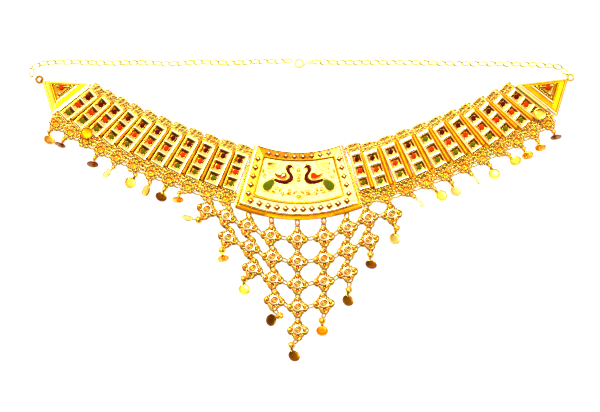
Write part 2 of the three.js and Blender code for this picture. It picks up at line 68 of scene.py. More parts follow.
# A wing's windows: how far their plaque side is from the middle line, as a share of half the
# bar's width, how far a window runs from its dot to the lower end and to the neck end, and the
# metal left on the outer side. Then the finish of the low, outer, neck and plaque side slopes,
# which paints light on them: painted half-shade and shade on the outer and neck slopes, which
# face away from the light, a lighter sanded tone on the low slopes and the right wing's plaque
# side slopes, and a pale painted highlight on the left wing's plaque side slopes.
WINDOWS = {"left": (0.66, 2.2, 1.95, 0.5), "right": (0.7, 2.0, 1.65, 0.2)}
SLOPE_LIGHT_AND_SHADE = {"left": (SANDED_AND_LIT, AMBER_HALF_SHADE, PAINTED_SHADE, PAINTED_HIGHLIGHT), "right": (SANDED_AND_LIT, PAINTED_SHADE, PAINTED_SHADE, SANDED_AND_LIT)}


def cad_corners(node):
    """A CAD node's corner points, each once, in millimetres, with its edges and triangles."""
    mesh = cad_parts[node].data
    points = np.zeros(len(mesh.vertices) * 3, np.float32)
    mesh.vertices.foreach_get("co", points)
    points = points.reshape(-1, 3).astype(float) / MM
    _, first, index = np.unique(points.round(3), axis=0, return_index=True, return_inverse=True)
    index = index.ravel()
    edges = np.zeros(len(mesh.edges) * 2, np.int32)
    mesh.edges.foreach_get("vertices", edges)
    mesh.calc_loop_triangles()
    triangles = np.zeros(len(mesh.loop_triangles) * 3, np.int32)
    mesh.loop_triangles.foreach_get("vertices", triangles)
    return points[first], index[edges].reshape(-1, 2), index[triangles].reshape(-1, 3)


def bar_frame(node):
    """A bar's own axes from the two long edges of its top: X away from the plaque, Y to the neck,
    and the origin under the middle of the windows. Also its width and its two outer feet."""
    points, edges, _ = cad_corners(node)
    ends = points[edges]
    long = ends[abs(np.linalg.norm(ends[:, 1] - ends[:, 0], axis=1) - BAR_LENGTH) < 0.01]
    middles = long.mean(1)
    highest = np.argsort(-middles[:, 2])
    inner = highest[0]
    outer = next(i for i in highest if np.linalg.norm(middles[i] - middles[inner]) > 1)
    if abs(middles[inner][0]) > abs(middles[outer][0]):
        inner, outer = outer, inner
    out = middles[outer] - middles[inner]
    width = np.linalg.norm(out)
    along = long[inner][1] - long[inner][0]
    along *= np.sign(along[1]) / np.linalg.norm(along)
    rise = np.cross(out / width, along)
    rise *= np.sign(rise[2])
    matrix = np.eye(4)
    matrix[:3, :3] = np.column_stack([out / width, along, rise])
    matrix[:3, 3] = (middles[inner] + middles[outer]) / 2 - BAR_HEIGHT * rise
    local = (points - matrix[:3, 3]) @ matrix[:3, :3]
    feet = []
    for end in (1, -1):
        near = (abs(local[:, 1] - end * BAR_LENGTH / 2) < 0.02) & (local[:, 2] < FLANK_FOOT + 0.05)
        feet.append(local[near, 0].max() + FLANK_LAP)
    return matrix, width, feet


class Form:
    """Points in millimetres and faces of one worked piece, each face with its gold finish."""

    def __init__(self, points, loops, sizes, finish=0):
        self.points = np.asarray(points, float).reshape(-1, 3)
        self.loops = np.asarray(loops, int).ravel()
        self.sizes = np.asarray(sizes, int).ravel()
        self.finish = np.broadcast_to(finish, self.sizes.shape).astype(int)

    def at(self, matrix):
        points = self.points @ matrix[:3, :3].T + matrix[:3, 3]
        if np.linalg.det(matrix[:3, :3]) > 0:
            return Form(points, self.loops, self.sizes, self.finish)
        return Form(points, self.loops[::-1], self.sizes[::-1], self.finish[::-1])

    def finished(self, number):
        return Form(self.points, self.loops, self.sizes, number)


def joined(forms):
    starts = np.cumsum([0] + [len(form.points) for form in forms])
    return Form(
        np.vstack([form.points for form in forms]),
        np.concatenate([form.loops + start for form, start in zip(forms, starts)]),
        np.concatenate([form.sizes for form in forms]),
        np.concatenate([form.finish for form in forms]),
    )


def softened(form, width, steps=2):
    """The form with its sharp edges rounded."""
    shape = bmesh.new()
    points = [shape.verts.new(point) for point in form.points]
    for end, size, finish in zip(np.cumsum(form.sizes), form.sizes, form.finish):
        face = shape.faces.new([points[i] for i in form.loops[end - size:end]])
        face.material_index = int(finish)
    bmesh.ops.recalc_face_normals(shape, faces=shape.faces)
    sharp = [edge for edge in shape.edges if edge.calc_face_angle(0) > math.radians(20)]
    bmesh.ops.bevel(shape, geom=sharp, offset=width, segments=steps, profile=0.5, affect="EDGES")
    shape.verts.index_update()
    loops = [vert.index for face in shape.faces for vert in face.verts]
    sizes = [len(face.verts) for face in shape.faces]
    finish = [face.material_index for face in shape.faces]
    rounded = Form([vert.co for vert in shape.verts], loops, sizes, finish)
    shape.free()
    return rounded


def bar_block(side, width, feet, flank):
    """The pressed block: its top plate, the three windows, the walls and the sloping flank."""
    half, end = width / 2, BAR_LENGTH / 2
    share, run_low, run_high, rim = WINDOWS[side]
    inner, outer = -half * share, half - rim
    across = [-half, inner, outer, half]
    along = [-end]
    for window in (-1, 0, 1):
        along += [window * WINDOW_PITCH - run_low, window * WINDOW_PITCH + run_high]
    along.append(end)
    points = [(x, y, BAR_HEIGHT) for x in across for y in along]
    rows = len(along)
    faces, finish = [], []
    for i in range(3):
        for j in range(rows - 1):
            if i != 1 or j % 2 == 0:
                low = i * rows + j
                faces.append([low, low + rows, low + rows + 1, low + 1])
                # The top plate is painted light: pale painted highlight, and painted shade on the left
                # wing's outer strip.
                finish.append(PAINTED_SHADE if side == "left" and i == 2 else PAINTED_HIGHLIGHT)
    # Each window slopes from a rounded lip down to its floor, steepest on the outer side. The lip is
    # painted highlight and the slopes take the wing's painted light and shade.
    for window in (-1, 0, 1):
        middle = window * WINDOW_PITCH
        low = rows + 2 * window + 3
        corners = [low, low + rows, low + rows + 1, low + 1]
        lip = (
            inner + WINDOW_LIP, outer - WINDOW_LIP,
            middle - run_low + WINDOW_LIP, middle + run_high - WINDOW_LIP, LIP_HEIGHT,
        )
        floor = (max(DOT_X - 0.95, inner + 0.15), outer - 0.8, middle - 0.95, middle + 0.9, WINDOW_FLOOR)
        for left, right, near, far, height in (lip, floor):
            lower = list(range(len(points), len(points) + 4))
            around_it = ((left, near), (right, near), (right, far), (left, far))
            points += [(x, y, height) for x, y in around_it]
            for k in range(4):
                faces.append([corners[k], corners[(k + 1) % 4], lower[(k + 1) % 4], lower[k]])
                finish.append(SLOPE_LIGHT_AND_SHADE[side][k] if height == WINDOW_FLOOR else PAINTED_HIGHLIGHT)
            corners = lower
        faces.append(corners)
        finish.append(POLISHED)
    low, high = range(len(points), len(points) + 4), range(len(points) + 4, len(points) + 8)
    for y, foot in ((-end, feet[1]), (end, feet[0])):
        inside = -half - BAR_BEVEL
        points += [(inside, y, 0), (inside, y, BAR_WALL), (foot, y, FLANK_FOOT), (foot, y, 0)]
    low_edge = [0, rows, 2 * rows, 3 * rows]
    high_edge = [corner + rows - 1 for corner in low_edge]
    # The walls are painted light: on the plaque side the bevel is pale painted highlight on the left wing
    # and painted half-shade on the right, the upright wall and the flank's foot are painted half-shade, and
    # the flank takes the painted tone given for it.
    walls = [
        ([*range(rows), high[1], low[1]], PAINTED_HIGHLIGHT if side == "left" else AMBER_HALF_SHADE),
        ([low[1], high[1], high[0], low[0]], AMBER_HALF_SHADE),
        ([*range(3 * rows, 4 * rows), high[2], low[2]], flank),
        ([low[2], high[2], high[3], low[3]], AMBER_HALF_SHADE),
        ([low[0], low[3], high[3], high[0]], POLISHED),
        ([low[0], low[1], *low_edge, low[2], low[3]], WORKED),
        ([high[0], high[1], *high_edge, high[2], high[3]], WORKED),
    ]
    faces += [corners for corners, _ in walls]
    finish += [number for _, number in walls]
    loops = [i for face in faces for i in face]
    return softened(Form(points, loops, [len(face) for face in faces], finish), 0.07)


def level(line, z):
    """A flat line laid at a height."""
    return np.column_stack([line, np.full(len(line), z)])


def skin(rings, ends, finishes=0):
    """Skin over a run of closed outlines of as many points each. Ends are the two points that
    close it, or "loop" where the last outline meets the first. Finishes are one for each row."""
    rings = np.asarray(rings, float)
    count, size = rings.shape[:2]
    looped = isinstance(ends, str)
    rows = np.arange(count if looped else count - 1)[:, None]
    columns = np.arange(size)[None, :]
    following = (columns + 1) % size
    below, above = rows * size, (rows + 1) % count * size
    quads = np.stack([below + columns, below + following, above + following, above + columns], -1)
    loops, sizes = quads.reshape(-1), np.full(quads.shape[0] * quads.shape[1], 4)
    finish = np.repeat(np.broadcast_to(finishes, quads.shape[0]), size)
    points = rings.reshape(-1, 3)
    if looped:
        return Form(points, loops, sizes, finish)
    first, last = len(points), len(points) + 1
    points = np.vstack([points, ends])
    column = columns[0]
    foot = np.stack([np.full(size, first), following[0], column], -1)
    top = (count - 1) * size
    head = np.stack([np.full(size, last), top + column, top + following[0]], -1)
    loops = np.concatenate([loops, foot.reshape(-1), head.reshape(-1)])
    sizes = np.concatenate([sizes, np.full(2 * size, 3)])
    finish = np.concatenate([finish, np.repeat([finish[0], finish[-1]], size)])
    a, b = rings[:-1], rings[1:]
    outwards = np.cross(np.roll(a, -1, 1) - a, b - a) * (a - points.mean(0))
    if outwards.sum() < 0:
        return Form(points, loops[::-1], sizes[::-1], finish[::-1])
    return Form(points, loops, sizes, finish)


def wire(path, radius, sides=6, closed=False, up=(0, 0, 1), flat=1.0):
    """Wire along a path. Radius is one number or one for each point, and flat presses it down."""
    path = np.asarray(path, float)
    if closed:
        run = np.roll(path, -1, 0) - np.roll(path, 1, 0)
    else:
        run = np.gradient(path, axis=0)
    run /= np.linalg.norm(run, axis=1)[:, None]
    side = np.cross(run, np.asarray(up, float))
    side /= np.linalg.norm(side, axis=1)[:, None]
    rise = np.cross(side, run) * flat
    radius = np.broadcast_to(radius, len(path))[:, None, None]
    angles = 2 * math.pi * (np.arange(sides) + 0.5) / sides
    section = side[:, None] * np.cos(angles)[None, :, None] + rise[:, None] * np.sin(angles)[None, :, None]
    rings = path[:, None] + section * radius
    return skin(rings, "loop" if closed else [path[0], path[-1]])


def bar_rods(side, width, feet, flank):
    """Half-round rods across the bar between the windows, on the right wing a rail along it, and
    the rolled band that covers the outer flank and widens with it."""
    rods = []
    reach = width / 2 - 0.1
    steps = np.linspace(-1, 1, 9)
    radius = 0.3 if side == "left" else 0.46
    for y in (6.85, 2.2, -2.5, -7.05):
        thickness = min(radius, 0.36) if abs(y) > 5 else radius
        path = level(np.column_stack([steps * reach, np.full(9, y)]), BAR_HEIGHT - 0.05)
        rods.append(wire(path, thickness * (1 - 0.5 * abs(steps) ** 6), 8, flat=0.6))
    # The rods are painted highlight, and the band takes the flank's painted tone.
    parts = [joined(rods).finished(PAINTED_HIGHLIGHT)]
    foot = np.interp(steps, (-1, 1), (feet[1], feet[0]))
    path = np.column_stack([(width / 2 + foot) / 2 + 0.05, steps * (BAR_LENGTH / 2 - 0.15)])
    band = wire(level(path, BAND_HEIGHT), np.maximum(foot - width / 2, 0.5) * 0.5, 10)
    parts.append(band.finished(flank))
    if side == "right":
        path = [(-width / 2 + 0.1, y, BAR_HEIGHT - 0.12) for y in np.linspace(-7.3, 7.3, 8)]
        parts.append(wire(path, 0.36, 8).finished(LEMON))
    return joined(parts)


class Flow:
    """A value in a material's nodes. Sums on it add the Math nodes that work them out."""

    def __init__(self, tree, socket=None):
        self.tree = tree
        self.socket = socket

    def node(self, kind, settings=None, inputs=None, output=0):
        made = self.tree.nodes.new("ShaderNode" + kind)
        for name, value in (settings or {}).items():
            setattr(made, name, value)
        for name, value in (inputs or {}).items():
            if isinstance(value, Flow):
                self.tree.links.new(value.socket, made.inputs[name])
            else:
                made.inputs[name].default_value = value
        return Flow(self.tree, made.outputs[output])

    def into(self, socket):
        self.tree.links.new(self.socket, socket)

    def maths(self, operation, first, second=0.0, clamp=False):
        return self.node("Math", {"operation": operation, "use_clamp": clamp}, {0: first, 1: second})

    def __add__(self, other):
        return self.maths("ADD", self, other)

    def __sub__(self, other):
        return self.maths("SUBTRACT", self, other)

    def __rsub__(self, other):
        return self.maths("SUBTRACT", other, self)

    def __mul__(self, other):
        return self.maths("MULTIPLY", self, other)

    def __pow__(self, other):
        return self.maths("POWER", self, other)

    __radd__ = __add__
    __rmul__ = __mul__

    def within(self, low, high):
        """0 below low and 1 above high, with a smooth rise between."""
        return self.node("MapRange", {"interpolation_type": "SMOOTHSTEP"}, {0: self, 1: low, 2: high})

    def tint(self, first, second):
        """The first colour where this is 0 and the second where it is 1."""
        first, second = (c if isinstance(c, Flow) else (*c, 1.0) for c in (first, second))
        return self.node("Mix", {"data_type": "RGBA"}, {0: self, 6: first, 7: second}, 2)


def blank_material(name):
    """A new material with its nodes, its shader and the place of each point on the piece."""
    material = bpy.data.materials.new(name)
    material.use_nodes = True
    nodes = Flow(material.node_tree)
    shader = material.node_tree.nodes["Principled BSDF"]
    return material, nodes, shader, nodes.node("TexCoord", output="Object")


def gold(name, bright, warm, deep, roughness, grain, hollow_shade, coat):
    """Gold whose colour turns warmer in patches and takes painted shade, its deep colour, in the
    hollows that ambient occlusion finds, with fine tool marks that are grain metres deep and a
    clear lacquer."""
    material, nodes, shader, where = blank_material(name)
    patches = nodes.node("TexNoise", None, {"Vector": where, "Scale": 260.0, "Detail": 3.0})
    marks = nodes.node("TexNoise", None, {"Vector": where, "Scale": 2600.0, "Detail": 2.0})
    # Painted shade: the base colour darkens towards the deep colour where ambient occlusion finds a hollow.
    open_air = nodes.node("AmbientOcclusion", {"samples": 4}, {"Distance": 0.0011}, "AO")
    hollow = nodes.maths("MULTIPLY", 1 - open_air, hollow_shade, clamp=True)
    colour = patches.within(0.42, 0.68).tint(bright, warm)
    hollow.within(0.1, 1.0).tint(colour, deep).into(shader.inputs["Base Color"])
    (roughness + (marks - 0.5) * 0.10 + (patches - 0.5) * 0.08).into(shader.inputs["Roughness"])
    relief = nodes.node("Bump", None, {"Strength": 0.5, "Distance": grain, "Height": marks})
    relief.into(shader.inputs["Normal"])
    shader.inputs["Metallic"].default_value = 1.0
    shader.inputs["Coat Weight"].default_value = coat
    shader.inputs["Coat Roughness"].default_value = 0.1
    return material


# Each finish: its bright, warm and deep colour, its roughness, the depth of its tool marks in
# metres, how strongly painted shade darkens its hollows towards the deep colour and how much
# lacquer it has. The third to sixth finishes are painted light: painted highlight, painted
# shade, painted half-shade, and a sanded ground that also paints lit faces.
finishes = [
    ("polished_gold", (1.0, 0.56, 0.014), (1.0, 0.45, 0.009), (0.50, 0.11, 0.002), 0.16, 12e-6, 1.1, 0.8),
    ("worked_gold", (1.0, 0.58, 0.014), (1.0, 0.42, 0.008), (0.42, 0.085, 0.002), 0.2, 30e-6, 1.4, 0.8),
    ("highlight_painted_gold", (1.0, 0.84, 0.42), (1.0, 0.78, 0.30), (0.9, 0.45, 0.05), 0.14, 10e-6, 0.8, 1.0),
    ("shade_painted_gold", (0.26, 0.085, 5e-4), (0.19, 0.055, 5e-4), (0.10, 0.028, 5e-4), 0.34, 20e-6, 0.7, 0.0),
    ("amber_half_shade_gold", (0.80, 0.26, 0.001), (0.72, 0.20, 0.001), (0.46, 0.12, 0.001), 0.38, 10e-6, 0.5, 0.0),
    ("sanded_and_lit_gold", (1.0, 0.68, 0.16), (1.0, 0.60, 0.10), (0.75, 0.28, 0.01), 0.42, 50e-6, 1.0, 0.0),
    ("lemon_gold", (1.0, 0.72, 0.15), (1.0, 0.58, 0.06), (0.66, 0.19, 0.002), 0.17, 20e-6, 1.1, 0.8),
]
GOLDS = [gold(*finish) for finish in finishes]

# ---------------------------------------------------------------- ornament at the bars' ends
# A granulated flower sits at each bar's neck end and a wire rosette at its lower end, soldered to
# low plates with scrolls and granules round them. Wire rings hook each bar to the next.

NECK_Y = BAR_LENGTH / 2 + 1.75      # middle of the flower at the neck end
ROSETTE_Y = -11.2                   # middle of the rosette at the lower end
WORK_X = 0.2                        # the ornament stands this far out from the bar's middle line
PLATE_BASE = 0.05
BEAD_LINE_PITCH = 0.62
RING_Z = 0.75                       # height of the middle of a wire ring that lies flat


def place(x=0.0, y=0.0, z=0.0, turn=0.0, tip=0.0, scale=1.0):
    """The matrix of a place: tipped about its own X, turned about Z, in degrees, and moved."""
    turn, tip = math.radians(turn), math.radians(tip)
    tipped = np.array([[1, 0, 0], [0, math.cos(tip), -math.sin(tip)], [0, math.sin(tip), math.cos(tip)]])
    turned = np.array([[math.cos(turn), -math.sin(turn), 0], [math.sin(turn), math.cos(turn), 0], [0, 0, 1]])
    matrix = np.eye(4)
    matrix[:3, :3] = turned @ tipped * scale
    matrix[:3, 3] = (x, y, z)
    return matrix


def around(form, count, radius, z=0.0, first=90.0, tip=0.0):
    """Copies of a form on a circle, each turned so that its +Y points outwards."""
    copies = []
    for i in range(count):
        angle = first + 360 * i / count
        x, y = radius * math.cos(math.radians(angle)), radius * math.sin(math.radians(angle))
        copies.append(form.at(place(x, y, z, angle - 90, tip)))
    return joined(copies)


def lathe(profile, sides=16, finishes=0):
    """A turned form from (radius, height) pairs, from its foot to its top."""
    angles = 2 * math.pi * np.arange(sides) / sides
    circle = np.stack([np.cos(angles), np.sin(angles)], -1)
    rings = [level(circle * radius, height) for radius, height in profile]
    return skin(rings, [(0, 0, profile[0][1]), (0, 0, profile[-1][1])], finishes)


def ball(radius, flat=1.0, sides=8, rows=4):
    """A small ball, lower than it is wide where flat is under 1."""
    angles = math.pi * (np.arange(rows) + 1) / (rows + 1) - math.pi / 2
    profile = [(radius * math.cos(a), radius * flat * math.sin(a)) for a in angles]
    form = lathe(profile, sides)
    form.points[-2:] = (0, 0, -radius * flat), (0, 0, radius * flat)
    return form


def granule(radius):
    return ball(radius, sides=6, rows=3)


def oval(length, width, thickness, count=16, z=0.0, sides=6):
    """A flat oval ring of wire, its long axis on Y."""
    angles = 2 * math.pi * np.arange(count) / count
    line = np.column_stack([width * np.cos(angles), length * np.sin(angles)])
    return wire(level(line, z), thickness, sides, True)


def petal(length, width, thickness, sides):
    """A drop-shaped loop of wire with its point at the origin, on +Y."""
    angles = 2 * math.pi * np.arange(14) / 14
    reach = (1 - np.cos(angles)) / 2
    line = np.column_stack([width * np.sin(angles) * reach ** 0.6, length * reach])
    return wire(level(line, 0.0), thickness, sides, True)


def scroll(radius, thick, thin, sides):
    """A scroll of tapered wire that winds in to its eye, starting on +Y."""
    t = np.linspace(0, 1, 22)
    reach = radius * (1 - 0.78 * t)
    angles = math.pi / 2 + 2 * math.pi * 1.3 * t
    line = np.column_stack([reach * np.cos(angles), reach * np.sin(angles)])
    return wire(level(line, 0.0), np.linspace(thick, thin, 22), sides)


bead_small, bead_middle, bead_large = granule(0.24), granule(0.32), ball(0.46)
wire_loop = oval(0.74, 0.66, 0.24)
# Painted light on the flower and the rosette: their low bases and the rosette cup's inner slope are painted
# half-shade, and the small beads round the flower are painted shade.
neck_flower = joined([
    lathe([(1.9, 0.1), (1.95, 0.6), (1.4, 0.85)], 12, AMBER_HALF_SHADE),
    around(petal(1.75, 0.78, 0.25, 6).finished(LEMON), 5, 0.3, 1.2, 54, 6),
    around(bead_small.finished(PAINTED_SHADE), 5, 1.25, 1.15, 54),
    around(bead_middle, 5, 1.85, 1.05),
    lathe([(0.62, 0.8), (0.66, 1.35), (0.45, 1.55)], 10, WORKED),
    ball(0.42).finished(LEMON).at(place(z=1.65)),
])
curl = joined([scroll(0.86, 0.32, 0.2, 6).finished(LEMON), bead_middle.at(place(z=0.05))])
rosette = joined([
    lathe([(2.5, 0.1), (2.55, 0.45), (1.7, 0.7)], 18, AMBER_HALF_SHADE),
    around(joined([wire_loop.finished(LEMON), granule(0.36).at(place(z=-0.08))]), 6, 2.05, 1.05, 90, 8),
    around(bead_middle, 6, 2.62, 0.85, 60),
    oval(2.3, 2.3, 0.14, 24, 0.62, 5).finished(WORKED),
    lathe(
        [(1.35, 0.6), (1.42, 1.5), (1.28, 1.7), (1.05, 1.58), (0.8, 1.12), (0.45, 1.05)], 18,
        [WORKED, LEMON, LEMON, AMBER_HALF_SHADE, AMBER_HALF_SHADE],
    ),
    around(granule(0.17), 12, 1.5, 1.12, 0),
    ball(0.42).finished(LEMON).at(place(z=1.3)),
])


def backing(x, y, half_x, half_y, height):
    """A low plate with rounded corners that carries the granulation, all of it painted half-shade."""
    angles = np.radians(np.arange(0, 360, 18))
    corner = [np.sign(part) * abs(part) ** 0.28 for part in (np.cos(angles), np.sin(angles))]
    outline = np.column_stack([x + half_x * corner[0], y + half_y * corner[1]])
    rings = [level(outline, z) for z in (PLATE_BASE, height - 0.12)]
    rings.append(level((x, y) + (outline - (x, y)) * 0.93, height))
    return skin(rings, [(x, y, PLATE_BASE), (x, y, height)]).finished(AMBER_HALF_SHADE)


def link_ornament(width, neck_half, low_half):
    """The granulated work at a bar's two ends, in the bar's own axes. The halves are how far
    it reaches to each side at the neck and at the lower end."""
    parts = [neck_flower.at(place(y=NECK_Y)), rosette.at(place(y=ROSETTE_Y))]
    parts.append(backing(WORK_X, NECK_Y - 0.1, neck_half, 1.95, 0.9))
    parts.append(backing(WORK_X, ROSETTE_Y + 2.0, low_half, 2.1, 0.9))
    rim_beads = [
        (neck_half - 0.55, NECK_Y + 0.1), (low_half - 0.5, ROSETTE_Y + 1.2), (low_half - 0.4, ROSETTE_Y),
    ]
    curls = [
        (2.2, NECK_Y - 0.7, 1.2, -40), (2.25, NECK_Y + 0.85, 1.05, 150),
        (1.05, ROSETTE_Y + 3.0, 1.15, 20), (2.75, ROSETTE_Y + 2.75, 1.15, 200),
    ]
    beads = [(1.45, NECK_Y + 1.95, 0.85), (2.75, ROSETTE_Y + 1.5, 0.85), (1.9, ROSETTE_Y + 2.2, 1.15)]
    # The large beads at the plates' rims are painted highlight.
    for side in (-1, 1):
        parts += [bead_large.at(place(side * x + WORK_X, y, 1.0)).finished(PAINTED_HIGHLIGHT) for x, y in rim_beads]
    for side in (-1, 1):
        mirrored = np.diag([side, 1.0, 1.0, 1.0])
        parts += [curl.at(mirrored @ place(*spot)) for spot in curls]
        parts += [bead_large.at(place(side * x, y, z)) for x, y, z in beads]
    parts.append(bead_large.at(place(0, NECK_Y + 2.1, 0.85)))
    # The beaded line along both ends of the bar.
    count = int((width + 1.0) / BEAD_LINE_PITCH)
    for end in (-1, 1):
        for i in range(count):
            x = (i - (count - 1) / 2) * BEAD_LINE_PITCH
            parts.append(bead_middle.at(place(x, end * (BAR_LENGTH / 2 + 0.26), 1.5)))
    return joined(parts)


def unit(vector):
    return vector / np.linalg.norm(vector)


def heading(run):
    """The turn in degrees that brings +Y onto a direction."""
    return math.degrees(math.atan2(run[1], run[0])) - 90


def hooked(start, end, height=RING_Z, thickness=0.3, width=0.66):
    """A wire ring that lies between two points of a level."""
    ring = oval(np.linalg.norm(end - start) / 2, width, thickness)
    return ring.at(place(*(start + end) / 2, height, heading(end - start)))


def hook_ring(matrix, following, y, gap):
    """The ring from a link's flower or rosette to the same one of the next link."""
    target = np.linalg.inv(matrix) @ following @ np.array([0, y, 0, 1])
    away = target[:2] - (0, y)
    return hooked(unit(away) * gap + (0, y), target[:2] - unit(away) * gap).finished(WORKED)


def cast(name, form, replaced=(), materials=GOLDS):
    """The finished piece in the necklace: an object that rides on its body and stands for its
    CAD nodes."""
    mesh = bpy.data.meshes.new(name)
    mesh.vertices.add(len(form.points))
    mesh.vertices.foreach_set("co", (form.points * MM).astype(np.float32).ravel())
    mesh.loops.add(len(form.loops))
    mesh.polygons.add(len(form.sizes))
    mesh.polygons.foreach_set("loop_start", np.cumsum(form.sizes) - form.sizes)
    mesh.loops.foreach_set("vertex_index", form.loops)
    mesh.polygons.foreach_set("material_index", form.finish)
    mesh.update(calc_edges=True)
    mesh.validate()
    mesh.shade_smooth()
    mesh.set_sharp_from_angle(angle=math.radians(40))
    for material in materials:
        mesh.materials.append(material)
    piece = bpy.data.objects.new(name, mesh)
    bpy.context.scene.collection.objects.link(piece)
    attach(piece, "root")
    if replaced:
        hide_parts(*replaced)


def on_bar(bar, y):
    """A point of a bar's middle line, on the table."""
    return (bar[0] @ np.array([0, y, 0, 1]))[:3]


links = {}
for side in ("left", "right"):
    names = [f"link_{side}_{number:02d}" for number in range(1, 12)]
    bars = [bar_frame(name) for name in names]
    links[side] = bars
    for i, (name, (matrix, width, feet)) in enumerate(zip(names, bars)):
        last = i == len(bars) - 1
        # The flank and its band are painted shade on the left wing and painted half-shade on the right, and
        # pale lemon gold on the last bar.
        flank = LEMON if last else PAINTED_SHADE if side == "left" else AMBER_HALF_SHADE
        parts = [bar_block(side, width, feet, flank), bar_rods(side, width, feet, flank)]
        pair = bars[i - 1:i + 1] if last else bars[i:i + 2]
        spans = []
        for y in (NECK_Y, ROSETTE_Y + 2):
            first, second = (on_bar(bar, y) for bar in pair)
            spans.append(np.linalg.norm(first - second) / 2)
        parts.append(link_ornament(width, *spans))
        if not last:
            following = bars[i + 1][0]
            # A small plate closes the corner between this bar's low end and the next bar's side.
            parts.append(backing(feet[1] - 0.3, -BAR_LENGTH / 2 - 0.4, 1.1, 1.7, 0.7))
            parts.append(hook_ring(matrix, following, NECK_Y, 2.0))
            for y in (ROSETTE_Y - 0.8, ROSETTE_Y + 0.8):
                parts.append(hook_ring(matrix, following, y, 2.35))
        cast(f"bar_{side}_{i + 1:02d}", joined(parts).at(matrix), [name])

# ---------------------------------------------------------------- enamel dots
# A round drop of enamel in a thin gold collar lies on the floor of each window: maroon at the
# neck, then orange, then green. One bar has green in the maroon dot's place.


def enamel(name, colour, deep):
    """Enamel, a little darker and uneven where it lies thick."""
    material, nodes, shader, where = blank_material(name)
    cloud = nodes.node("TexNoise", None, {"Vector": where, "Scale": 900.0, "Detail": 3.0})
    pits = nodes.node("TexVoronoi", None, {"Vector": where, "Scale": 2400.0})
    relief = nodes.node("Bump", None, {"Strength": 0.25, "Distance": 0.00002, "Height": cloud + pits * 0.3})
    cloud.within(0.35, 0.7).tint(colour, deep).into(shader.inputs["Base Color"])
    (0.40 + cloud * 0.1).into(shader.inputs["Roughness"])
    relief.into(shader.inputs["Normal"])
    shader.inputs["Specular IOR Level"].default_value = 0.015
    return material


enamels = {
    "maroon": enamel("maroon_enamel", (0.085, 0.003, 0.002), (0.055, 0.0016, 0.001)),
    "orange": enamel("orange_enamel", (0.50, 0.022, 0.0005), (0.42, 0.015, 0.0003)),
    "green": enamel("green_enamel", (0.085, 0.105, 0.0004), (0.065, 0.085, 0.0003)),
}
dot = lathe([(0.96, 0.0), (0.94, 0.2), (0.8, 0.36), (0.5, 0.46), (0.18, 0.5)], 18)
collar = oval(0.98, 0.98, 0.08, 18, 0.02)

dots = {colour: [] for colour in enamels}
collars = []
for side, bars in links.items():
    for i, (matrix, _, _) in enumerate(bars):
        rows = list(enamels)
        if (side, i) == ("right", 4):
            rows[0] = "green"
        for row, colour in enumerate(rows):
            spot = matrix @ place(DOT_X, (1 - row) * WINDOW_PITCH, WINDOW_FLOOR + 0.12)
            dots[colour].append(dot.at(spot))
            collars.append(collar.at(spot))


def cast_enamel(name, colour, forms):
    cast(name, joined(forms), (), [enamels[colour]])


for colour in enamels:
    cast_enamel(f"dots_{colour}", colour, dots[colour])
cast("dot_collars", joined(collars), materials=GOLDS[:1])

# ---------------------------------------------------------------- plaque
# The middle plaque is pressed from sheet: a flange, a raised border with rails and faceted
# studs, and a sunk field with a sandblasted ground for the two peacocks.

plaque_low, plaque_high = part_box("plaque")
PLAQUE_X = (plaque_low.x + plaque_high.x) / 2 / MM
FLANGE_TOP = 23.9                   # the flange's upper corners, over the plaque's own origin
PLAQUE_Y = plaque_high.y / MM - FLANGE_TOP
BORDER_FLOOR = 2.72
GROUND = 2.3                        # height of the sunk field
FLOOR = 7                           # marks the border's floor until its finishes are given
plaque_place = place(PLAQUE_X, PLAQUE_Y)


def curved(top_y, bottom_y, top_width, bottom_width, top_sag, bottom_sag, z, grow=0.0):
    """A trapezoid whose two long edges hang down in the middle, grown outwards by an amount."""
    across = np.linspace(-1, 1, 25)
    fall = 1 - across ** 2
    lower = np.column_stack([across * (bottom_width / 2 + grow), bottom_y - grow - bottom_sag * fall])
    upper = np.column_stack([across * (top_width / 2 + grow), top_y + grow - top_sag * fall])
    return level(np.vstack([lower, upper[::-1]]), z)


def body_edge(z, grow=0.0):
    return curved(23.6, 0.6, 32.6, 44.9, 2.9, 4.6, z, grow)


def flange_edge(z, grow=0.0):
    return curved(FLANGE_TOP + grow, -0.9 - grow, 34.0 + 2 * grow, 48.3 + 2 * grow, 2.9, 4.6, z)


def field_edge(z, grow=0.0):
    return curved(18.3, 4.1, 25.9, 33.2, 1.5, 3.0, z, grow)


# From the back of the flange over the outer rail, the border and the inner rail down to the
# field: the edge that each ring follows, its height, how far outside that edge it stands, and
# the finish of the strip that follows it. These finishes paint light: painted shade and
# half-shade on the rails' sloping sides and on part of the flange, plain polish on the rails'
# tops and the sanded ground in the field.
border_rings = [
    (flange_edge, 0.0, 0.0, WORKED), (flange_edge, 0.85, 0.0, AMBER_HALF_SHADE), (flange_edge, 1.05, -0.2, AMBER_HALF_SHADE),
    (body_edge, 1.1, 0.1, POLISHED), (body_edge, 2.7, 0.0, POLISHED), (body_edge, 2.92, -0.08, POLISHED),
    (body_edge, 3.0, -0.3, POLISHED), (body_edge, 3.0, -0.65, POLISHED), (body_edge, 2.88, -0.8, PAINTED_SHADE),
    (body_edge, BORDER_FLOOR, -0.9, AMBER_HALF_SHADE), (body_edge, BORDER_FLOOR, -1.05, FLOOR),
    (field_edge, BORDER_FLOOR, 0.95, FLOOR), (field_edge, 2.75, 0.85, PAINTED_SHADE),
    (field_edge, 2.98, 0.7, POLISHED), (field_edge, 2.98, 0.5, POLISHED), (field_edge, 2.8, 0.35, AMBER_HALF_SHADE),
    (field_edge, 2.72, 0.1, PAINTED_SHADE), (field_edge, 2.5, 0.0, SANDED_AND_LIT), (field_edge, GROUND, -0.12, SANDED_AND_LIT),
]
